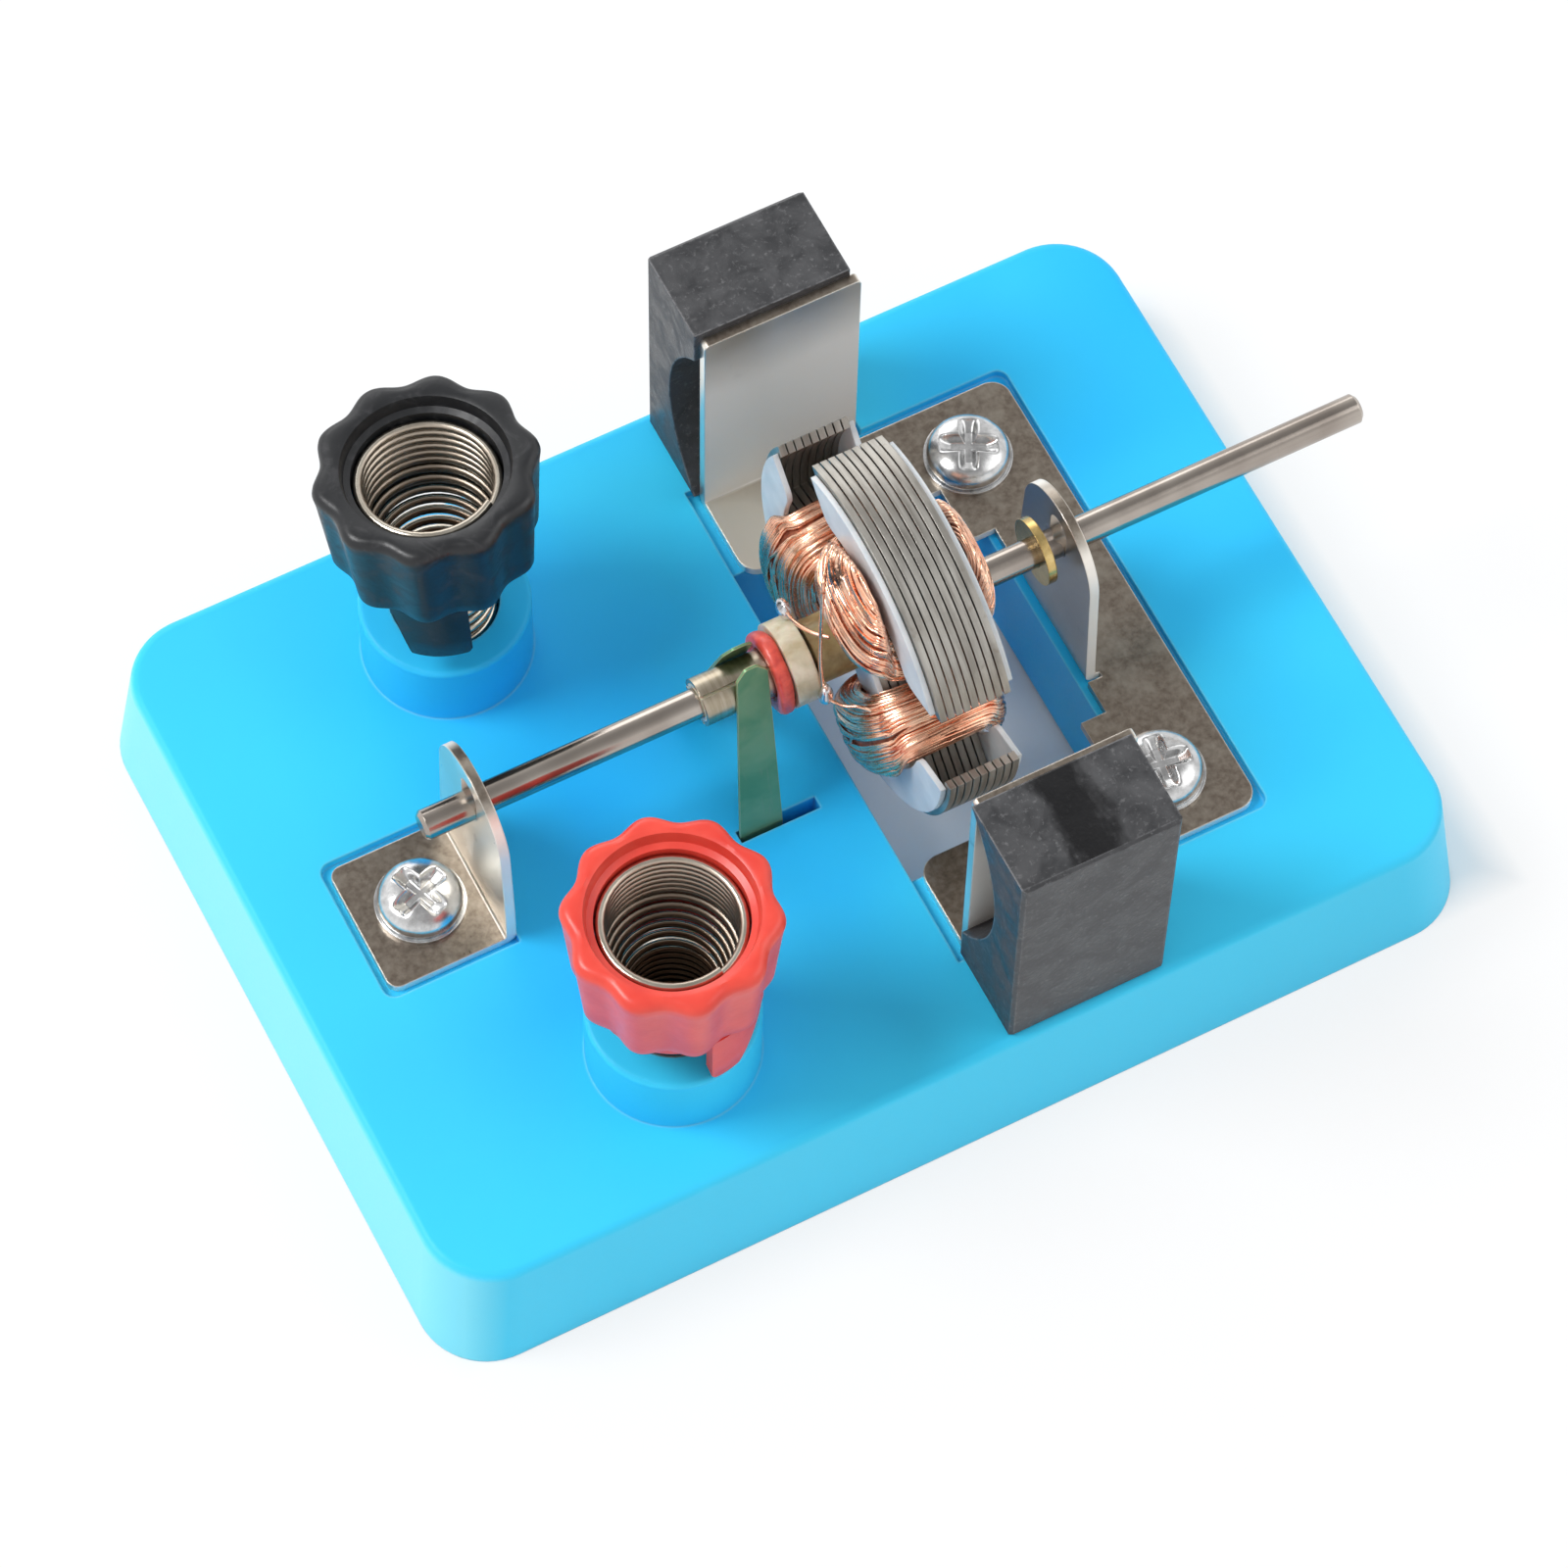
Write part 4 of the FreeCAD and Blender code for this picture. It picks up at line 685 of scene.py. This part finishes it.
def makeWinding(name, turn, bulge, seed):
    # each loop keeps its lift round the stem, but for slow sine waves; a skin closes the gaps, in
    # darker copper as painted shade
    pick = np.random.default_rng(seed)
    count, steps = winding["loops"], winding["steps"]
    contour = evenContour()
    around = fullTurn(steps)[None]
    lift = np.linspace(-winding["spread"], winding["spread"], count)[:, None]
    lift = lift + pick.normal(0, winding["jitter"], (count, 1))
    strong = np.where(pick.random((count, 1)) < winding["crossingShare"], winding["crossing"], 1.0)
    for wave, size in winding["waves"]:
        phase = pick.uniform(0, 2 * math.pi, (count, 1))
        lift = lift + strong * size * pick.normal(0, 1, (count, 1)) * np.sin(wave * around + phase)
    depth = pick.uniform(*winding["depth"], (count, 1)) * np.ones_like(around)
    depth = depth + winding["ripple"] * np.sin(2 * around + pick.uniform(0, 6, (count, 1)))
    depth = np.where(strong > 1, 0.12 + 0.2 * depth, depth)
    lift = np.clip(lift, -winding["reach"], winding["reach"])
    paths = onPole(bundlePlace(lift, depth, contour, bulge), turn)
    inner = onPole(bundlePlace(lift * 0.9, depth + 1.0, contour, bulge), turn)
    wires = tubeShell(paths, paths - inner, winding["wire"], winding["sides"], True)
    rows = winding["skinRows"]
    skin = bundlePlace(np.linspace(-1.0, 1.0, rows)[:, None], winding["skinDepth"], contour, bulge)
    middle = (winding["left"] + winding["right"]) / 2
    stem = np.stack((middle + contour[0], contour[1],
                     np.full_like(contour[0], winding["stemHigh"])), -1)
    hidden = onPole(np.concatenate((skin, stem)), turn)
    core = (hidden.reshape(-1, 3), gridFaces(rows + 1, steps, True, True))
    points, faces = joined((wires, core))
    picks = np.arange(len(faces)) >= len(wires[1])
    newPiece(name.replace("winding", "coil"), points, faces, ("copper", "copperGapShade"), "rotor",
             (name,), 60.0, picks)


for number, (name, (turn, bulge)) in enumerate(poles.items()):
    makeWinding(name, turn, bulge, winding["firstSeed"] + number)
print("windings made")


# terminal springs: a narrow coil, open turns, then a wide coil in the cap

terminalPlace = {"x": -27.15, "y": 24.0, "bossTop": 23.2}
spring = {
    "wire": 0.45, "narrow": 4.55, "wide": 6.55, "start": 10.85, "turns": (13.5, 6.0),
    "pitch": (1.18, 1.25), "wideHeight": 6.47, "steps": 44, "sides": 10,
    "tail": 10, "tailPast": 1.2, "screwCore": 1.2, "screwGap": 0.05,
    "bendFrom": 0.0236, "bendTo": 0.0318,  # heights in metres; a tilting cap bends the spring above the boss's top
}
# side is 1 at the back; turn places the leg; rise is the cap's height above its seat; slant is the
# cut side of the leg; screw is where the tail goes under the base
terminals = {
    "black": {"side": 1, "lean": 6.5, "turn": -121.0, "rise": 2.2, "slant": -1, "wideTurns": 6.22,
              "broad": 1.025, "cutWide": 1.7, "screw": (-9.44, 13.5)},
    "red": {"side": -1, "lean": 0.0, "turn": -66.0, "rise": 0.0, "slant": 1, "wideTurns": 6.98,
            "broad": 0.97, "cutWide": 4.6, "screw": (-9.44, -13.5)},
}


def leanOver(points, side, lean):
    # what stands above the boss tips back round a line along x through the boss's top
    a = math.radians(-lean)
    y = points[..., 1] - terminalPlace["y"] * side
    z = points[..., 2] - terminalPlace["bossTop"]
    above = z > 0
    newY = np.where(above, y * math.cos(a) - z * math.sin(a), y)
    newZ = np.where(above, y * math.sin(a) + z * math.cos(a), z)
    newY, newZ = newY + terminalPlace["y"] * side, newZ + terminalPlace["bossTop"]
    return np.stack((points[..., 0], newY, newZ), -1)


def makeSpring(name):
    # a helix whose radius and height follow its turns piece by piece, after a straight tail that
    # leaves it on a tangent and passes close beside the contact screw
    terminal = terminals[name]
    side = terminal["side"]
    turns = spring["turns"] + (terminal["wideTurns"],)
    centre = np.array((terminalPlace["x"], terminalPlace["y"] * side))
    towards = np.array(terminal["screw"]) - centre
    far = np.hypot(*towards)
    offset = spring["narrow"] - (spring["screwCore"] + spring["wire"] + spring["screwGap"])
    leave = math.atan2(towards[1], towards[0]) + math.pi / 2 - math.asin(offset / far)
    count = int(sum(turns) * spring["steps"])
    turn = np.arange(count + 1) / spring["steps"]
    marks = np.cumsum((0,) + turns)
    narrowHeight = turns[0] * spring["pitch"][0] + terminal["rise"]
    heights = np.cumsum((0, narrowHeight, turns[1] * spring["pitch"][1], spring["wideHeight"]))
    radii = (spring["narrow"], spring["narrow"], spring["wide"], spring["wide"])
    radius = np.interp(turn, marks, radii)
    angle = leave + 2 * math.pi * turn
    z = spring["start"] + np.interp(turn, marks, heights)
    coil = np.stack((centre[0] + radius * np.cos(angle), centre[1] + radius * np.sin(angle), z), -1)
    outward = np.stack((np.cos(angle), np.sin(angle), 0 * angle), -1)
    along = np.array((-math.sin(leave), math.cos(leave), 0))
    length = math.sqrt(far ** 2 - offset ** 2) + spring["tailPast"]
    tail = coil[0] - along * np.linspace(length, 0.6, spring["tail"])[:, None]
    path = np.concatenate((tail, coil))[None]
    outward = np.concatenate((np.repeat(outward[:1], spring["tail"], 0), outward))[None]
    path = leanOver(path, side, terminal["lean"])
    points, faces = tubeShell(path, outward, spring["wire"], spring["sides"], False)
    # the wire's inner half takes the darker finish: painted shade
    around = np.arange(len(faces)) % spring["sides"]
    inside = np.abs(around - (spring["sides"] - 1) / 2) < spring["sides"] / 4
    piece = newPiece(f"{name}_spring", points, faces, ("springWire", "springInsideShade"), None,
                     (f"{name}_terminal_spring",), 50.0, inside)
    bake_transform(piece)


for name in terminals:
    makeSpring(name)
print("springs made")


# terminal caps: a ring of soft lobes with one leg

cap = {
    "valley": 9.70, "lobe": 0.85, "lobes": 10, "taper": 0.082,  # the outside, at the top
    "top": 19.45, "edge": 1.0, "skirt": 7.9, "skirtEdge": 0.4,  # heights over the boss, roundings
    "bore": 7.15, "mouth": 7.95, "lip": 1.3, "boreTop": 1.8,  # lip and boreTop below the top
    "sleeve": 7.9, "sleeveDrop": 1.8,  # the thinner wall below the skirt
    "legHalf": 3.8, "legOuter": 8.5, "foot": 0.35, "cutHigh": 6.4, "footRise": 0.25,
    "corner": 0.5, "steps": 360,
}


def makeCap(name, finish):
    # the wall's section, turned round the cap: up the bore, over lip and rim, down the tapered
    # outside, whose radius swells with a cosine for each lobe, in at the skirt and down the sleeve,
    # which reaches lower where the leg is
    terminal = terminals[name]
    side = terminal["side"]
    plain = np.linspace(-math.pi, math.pi, cap["steps"] + 1)[:-1]
    legEdge = cap["legHalf"] / cap["legOuter"]
    beside = np.array((-0.06, -0.03, -0.012, -0.001, 0.001, 0.012, 0.03, 0.06))
    turn = np.unique(np.concatenate((plain, -legEdge - beside, legEdge + beside)))
    rim = cap["valley"] + cap["lobe"] * (0.5 + 0.5 * np.cos(cap["lobes"] * turn))
    rim = rim * terminal["broad"]
    # the leg's lower edge: one side cut slantwise over its whole height, the other hardly rounded
    leaning = turn * cap["legOuter"] * terminal["slant"]
    cut = np.clip((leaning - cap["legHalf"]) / terminal["cutWide"] + 1, 0, 1)
    corner = np.clip((-leaning - cap["legHalf"]) / cap["corner"] + 1, 0, 1)
    leg = cap["foot"] + cap["cutHigh"] * cut ** 1.1 + cap["corner"] * corner ** 2.2
    leg = leg + cap["footRise"] * np.clip(leaning / cap["legHalf"], 0, 1)
    onLeg = np.abs(leaning) < cap["legHalf"]
    skirt, top, edge = cap["skirt"], cap["top"], cap["edge"]
    sleeveFoot = skirt - cap["sleeveDrop"]
    innerLow = np.where(onLeg, np.minimum(leg, sleeveFoot), sleeveFoot)
    innerWall = np.where(onLeg, cap["legOuter"], cap["sleeve"])
    arc = np.linspace(0, math.pi / 2, 5)
    columns = []

    def add(radius, height):
        columns.append((np.broadcast_to(radius, turn.shape), np.broadcast_to(height, turn.shape)))

    for share in np.linspace(0, 1, 6):
        add(cap["bore"], innerLow + 0.25 + (top - cap["boreTop"] - innerLow) * share)
    for out, down in ((-0.2, cap["lip"]), (0, 0.5), (0.12, 0.15), (0.5, 0)):
        add(cap["mouth"] + out, top - down)
    for a in arc:
        add(rim - edge + edge * math.sin(a), top - edge + edge * math.cos(a))
    low = skirt + cap["skirtEdge"]
    for share in np.linspace(0.12, 1, 9):
        height = top - edge + (low - top + edge) * share
        add(rim - (top - height) * cap["taper"], height)
    turnIn = rim - (top - skirt) * cap["taper"] - cap["skirtEdge"]
    for a in arc[1:]:
        add(turnIn + cap["skirtEdge"] * math.cos(a), low - cap["skirtEdge"] * math.sin(a))
    for share in (0, 0.35, 0.7, 1):
        add(innerWall, skirt + (innerLow + 0.25 - skirt) * share)
    add(innerWall - 0.1, innerLow + 0.07)
    add(innerWall - 0.25, innerLow)
    radius = np.stack([c[0] for c in columns])
    height = np.stack([c[1] for c in columns])
    angle = turn + math.radians(terminal["turn"])
    height = height + terminal["rise"]
    points = np.stack((radius * np.cos(angle), radius * np.sin(angle), height), -1)
    points = points + (terminalPlace["x"], terminalPlace["y"] * side, terminalPlace["bossTop"])
    points = leanOver(points, side, terminal["lean"])
    faces = gridFaces(len(columns), len(turn), True, True)
    newPiece(f"{name}_cap_moulding", points.reshape(-1, 3), faces, finish, f"{name}_cap",
             (f"{name}_terminal_cap",), 38.0)


makeCap("black", "blackPlastic")
makeCap("red", "redPlastic")
print("caps made")


# mounting screws: domed heads with a tapered cross recess

screw = {
    "places": ((-41.65, 0.0, 20.0), (27.05, 19.5, 62.0), (27.05, -19.5, -8.0)),  # x, y and turn
    "seat": 15.1, "head": 4.1, "height": 2.5, "rim": 0.5,
    "crossHalf": 2.9, "crossWide": 1.0, "crossFlare": 0.02, "crossDeep": 1.0, "crossWall": 0.75,
    "armEnd": 1.2, "tip": -10.5, "steps": 120,
    # below the head: (radius, height) down to the tip
    "shank": ((4.1, 0.2), (3.95, 0.0), (2.3, 0.0), (1.95, -0.3), (1.95, -9.6), (1.1, -10.5)),
}


def makeScrews():
    # the head is a dome over a polar grid, less a cross: full depth within an arm's width of either
    # axis, a smooth wall beside it, and a ramp towards the arm's end
    steps = screw["steps"]
    radii = np.concatenate((np.linspace(0.06, 3.2, 34), np.linspace(3.3, screw["head"], 12)))
    turn = fullTurn(steps)
    ringRadius, ringTurn = np.meshgrid(radii, turn, indexing="ij")
    x, y = ringRadius * np.cos(ringTurn), ringRadius * np.sin(ringTurn)
    share = ringRadius / screw["head"]
    bow = np.maximum(1 - share ** 2.6, 0) ** 0.45
    dome = screw["rim"] + (screw["height"] - screw["rim"]) * bow
    offArm = np.minimum(np.abs(x), np.abs(y))
    alongArm = np.maximum(np.abs(x), np.abs(y))
    wide = screw["crossWide"] + screw["crossFlare"] * alongArm
    across = smoothStep((wide - offArm) / screw["crossWall"])
    along = np.clip((screw["crossHalf"] - alongArm) / screw["armEnd"], 0, 1)
    top = dome - screw["crossDeep"] * across * along ** 0.7
    head = np.stack((x, y, top), -1)
    lower = np.array([np.stack((r * np.cos(turn), r * np.sin(turn), np.full_like(turn, h)), -1)
                      for r, h in screw["shank"]])
    grid = np.concatenate((head, lower))
    rows = len(grid)
    points = grid.reshape(-1, 3)
    faces = gridFaces(rows, steps, False, True)
    faces += fanFaces(np.arange(steps), len(points))
    faces += fanFaces((rows - 1) * steps + np.arange(steps), len(points) + 1)
    points = np.concatenate((points, [(0, 0, top[0].mean()), (0, 0, screw["tip"])]))
    shells = []
    for right, back, twist in screw["places"]:
        a = math.radians(twist)
        turned = np.stack((points[:, 0] * math.cos(a) - points[:, 1] * math.sin(a),
                           points[:, 0] * math.sin(a) + points[:, 1] * math.cos(a),
                           points[:, 2]), -1)
        shells.append((turned + (right, back, screw["seat"]), faces))
    points, faces = joined(shells)
    newPiece("screws_pan_head", points, faces, "zinc", "base",
             ("mounting_screws",), 55.0)


makeScrews()
print("screws made")


# commutator binding: a soft red ring, a little uneven, as a wound thread

binding = {
    "left": -5.60, "right": -3.97, "inner": 2.42, "outer": 4.20, "sag": 0.25, "square": 0.7,
    "wander": 0.06, "waves": (1, 2, 3, 5), "steps": 160, "sides": 22, "seed": 5,
}


def makeBinding():
    # a squarish ring section carried round the shaft; its width, height and place wander with a sum
    # of sine waves, and it sags a little where it stands out
    steps, sides = binding["steps"], binding["sides"]
    turn = fullTurn(steps)
    around = fullTurn(sides)
    pick = np.random.default_rng(binding["seed"])
    wander = sum(binding["wander"] * np.sin(k * turn + pick.uniform(0, 6))
                 for k in binding["waves"])
    middle = (binding["left"] + binding["right"]) / 2
    half = (binding["right"] - binding["left"]) / 2 * (0.92 + 0.5 * wander)
    outer = binding["outer"] + wander * 0.9
    across = squared(np.cos(around), binding["square"])
    rise = 0.5 + 0.5 * squared(np.sin(around), binding["square"])
    x = middle + half[:, None] * across + 0.4 * wander[:, None]
    r = binding["inner"] + (outer[:, None] - binding["inner"]) * rise
    y = r * np.cos(turn)[:, None]
    z = r * np.sin(turn)[:, None] + shaftHeight - binding["sag"] * (r - binding["inner"]) / 2
    points = np.stack((x, y, z), -1).reshape(-1, 3)
    newPiece("commutator_binding", points, gridFaces(steps, sides, True, True), "redRing", "rotor",
             ("commutator_ring",), 60.0)


makeBinding()
print("binding made")


# the leads from the coils, and solder on the tabs

leads = {
    "wire": 0.2, "steps": 60, "sides": 8,
    "runs": (
        ((-1.6, -4.6, 30.7), (-1.45, -3.6, 33.8), (-1.0, -2.6, 37.6), (-0.7, -2.1, 41.2),
         (-0.2, -1.4, 44.2), (0.5, -0.3, 44.75), (1.3, 0.9, 45.2)),
        ((-1.7, 3.3, 33.9), (-1.9, 1.2, 35.2), (-1.3, -0.9, 36.0), (-0.1, -2.6, 36.6)),
        ((-1.6, -5.2, 30.4), (-1.0, -5.8, 29.9), (-0.3, -6.6, 29.9), (0.7, -7.4, 30.3),
         (1.6, -8.0, 29.8)),
        ((-1.5, 1.8, 25.1), (-0.9, 3.6, 25.0), (0.3, 6.0, 25.4), (1.6, 8.0, 26.0)),
    ),
}


def smoothRun(corners, steps):
    # a cubic curve through given corners, by their Catmull-Rom spans
    corners = np.asarray(corners, float)
    before, after = corners[:1] * 2 - corners[1:2], corners[-1:] * 2 - corners[-2:-1]
    ends = np.concatenate((before, corners, after))
    u = np.linspace(0, len(corners) - 1 - 1e-9, steps)
    k = u.astype(int)
    f = (u - k)[:, None]
    a, b, c, d = ends[k], ends[k + 1], ends[k + 2], ends[k + 3]
    return 0.5 * (2 * b + (c - a) * f + (2 * a - 5 * b + 4 * c - d) * f ** 2
                  + (3 * b - a - 3 * c + d) * f ** 3)


def makeLeads():
    # a thin tube along each run's smooth curve
    shells = []
    for run in leads["runs"]:
        path = smoothRun(run, leads["steps"])[None]
        outward = np.broadcast_to((0.2, 0.3, 0.9), path.shape)
        shells.append(tubeShell(path, outward, leads["wire"], leads["sides"], False))
    points, faces = joined(shells)
    newPiece("coil_leads", points, faces, "copper", "rotor", (), 60.0)


solder = {
    "spots": ((-1.55, 170.0, 5.0), (-1.75, 50.0, 5.1), (-1.45, 290.0, 5.0)),  # x, angle, reach
    "size": 0.92, "shape": (0.75, 1.0, 1.15), "rows": 16, "steps": 28, "seed": 3,
}


def makeSolder():
    # lumpy drops: a stretched sphere whose radius wanders with its direction
    pick = np.random.default_rng(solder["seed"])
    rows, steps = solder["rows"], solder["steps"]
    tilt = np.linspace(0, math.pi, rows + 2)[1:-1, None]
    turn = fullTurn(steps)[None]
    faces = gridFaces(rows, steps, False, True) + fanFaces(np.arange(steps), rows * steps)
    faces += fanFaces((rows - 1) * steps + np.arange(steps), rows * steps + 1)
    shells = []
    for x, angle, reach in solder["spots"]:
        lump = 1 + 0.16 * np.sin(2 * turn + pick.uniform(0, 6)) * np.sin(tilt)
        lump = lump + 0.14 * np.sin(3 * tilt + pick.uniform(0, 6)) * np.sin(tilt)
        ball = np.stack((np.sin(tilt) * np.cos(turn), np.sin(tilt) * np.sin(turn),
                         np.cos(tilt) + 0 * turn), -1)
        drop = ball * (solder["size"] * lump)[..., None] * solder["shape"]
        poleHeights = drop[0, :, 2].mean(), drop[-1, :, 2].mean()
        points = np.concatenate((drop.reshape(-1, 3), [(0, 0, height) for height in poleHeights]))
        a = math.radians(angle)
        centre = (x, reach * math.cos(a), reach * math.sin(a) + shaftHeight)
        shells.append((points + centre, faces))
    points, faces = joined(shells)
    newPiece("solder_drops", points, faces, "solder", "rotor", (), 60.0)


makeLeads()
makeSolder()
print("leads and solder made")


# stage: pale floor, soft lights, white surroundings

studio = {
    "floorSize": 3.0, "floorHeight": -0.0001, "floorColour": (0.95, 0.95, 0.95, 1.0),
    "white": (1.0, 1.0, 1.0, 1.0), "ambient": 0.60, "ceiling": 0.40,
    "shown": 0.76, "footprint": (58.0, 40.0),
    "lamps": (
        # place, size, power, all towards the middle of the motor
        ((-0.40, 0.18, 0.60), 0.30, 2.9),
        ((0.50, -0.25, 0.55), 0.55, 1.0),
        ((0.10, 0.75, 0.35), 0.45, 0.9),
    ),
    "lampsTowards": (0, 0, 0.02),
}


def seenOrMirrored(shade):
    # 1 for rays from the camera, from a mirror or through glass, else 0
    rays = [shade.add("ShaderNodeLightPath", output=k) for k in (0, 3, 6)]
    return shade.ramp(rays[0] + rays[1] + rays[2], 0.0, 1.0)


def makeFloor():
    # a big square that glows white to the camera and to mirrors, but not under the motor, where it
    # shows through the opening
    half, height = studio["floorSize"], studio["floorHeight"]
    mesh = bpy.data.meshes.new("floor")
    corners = [(x * half, y * half, height) for x, y in ((-1, -1), (1, -1), (1, 1), (-1, 1))]
    mesh.from_pydata(corners, [], [(0, 1, 2, 3)])
    floor = bpy.data.objects.new("floor", mesh)
    bpy.context.scene.collection.objects.link(floor)
    material = bpy.data.materials.new("paleFloor")
    material.use_nodes = True
    shade = Shade(material.node_tree)
    paper = shade.add("ShaderNodeBsdfPrincipled",
                      inputs={"Base Color": studio["floorColour"], "Roughness": 0.7})
    white = shade.add("ShaderNodeEmission", inputs={"Color": studio["white"], "Strength": 1.0})
    away = [shade.add("ShaderNodeMath", {"operation": "ABSOLUTE"}, {0: shade.axis(name)})
            for name in "xy"]
    outside = [shade.ramp(far, reach - 4, reach) for far, reach in zip(away, studio["footprint"])]
    outside = shade.add("ShaderNodeMath", {"operation": "MAXIMUM"}, {0: outside[0], 1: outside[1]})
    glowing = seenOrMirrored(shade) * studio["shown"] * outside
    surface = shade.add("ShaderNodeMixShader", inputs={0: glowing, 1: paper, 2: white})
    shade.add("ShaderNodeOutputMaterial", inputs={"Surface": surface})
    mesh.materials.append(material)


def makeWorld():
    # an even light; the camera and mirrors see white instead, greyer straight above
    world = bpy.data.worlds.new("studio")
    bpy.context.scene.world = world
    world.use_nodes = True
    shade = Shade(world.node_tree)
    upward = shade.along(shade.add("ShaderNodeTexCoord", output=0), "z")
    ceiling = shade.ramp(upward, 0.45, 0.95)
    shown = shade.mix(ceiling, (1, 1, 1), (studio["ceiling"],) * 3)
    level = studio["ambient"]
    colour = shade.mix(seenOrMirrored(shade), (level, level, level * 1.02), shown)
    back = shade.add("ShaderNodeBackground", inputs={"Color": colour, "Strength": 1.0})
    shade.add("ShaderNodeOutputWorld", inputs={"Surface": back})


def makeLamps():
    # round lamps, each turned to look at one point
    for n, (place, size, power) in enumerate(studio["lamps"]):
        data = bpy.data.lights.new(f"lamp{n}", "AREA")
        data.shape = "DISK"
        data.size = size
        data.energy = power
        lamp = bpy.data.objects.new(f"lamp{n}", data)
        lamp.location = place
        down = unit(np.array(studio["lampsTowards"]) - np.array(place))
        lamp.rotation_euler = (math.acos(-down[2]), 0, math.atan2(down[1], down[0]) - math.pi / 2)
        bpy.context.scene.collection.objects.link(lamp)


makeFloor()
makeWorld()
makeLamps()
print("stage made")
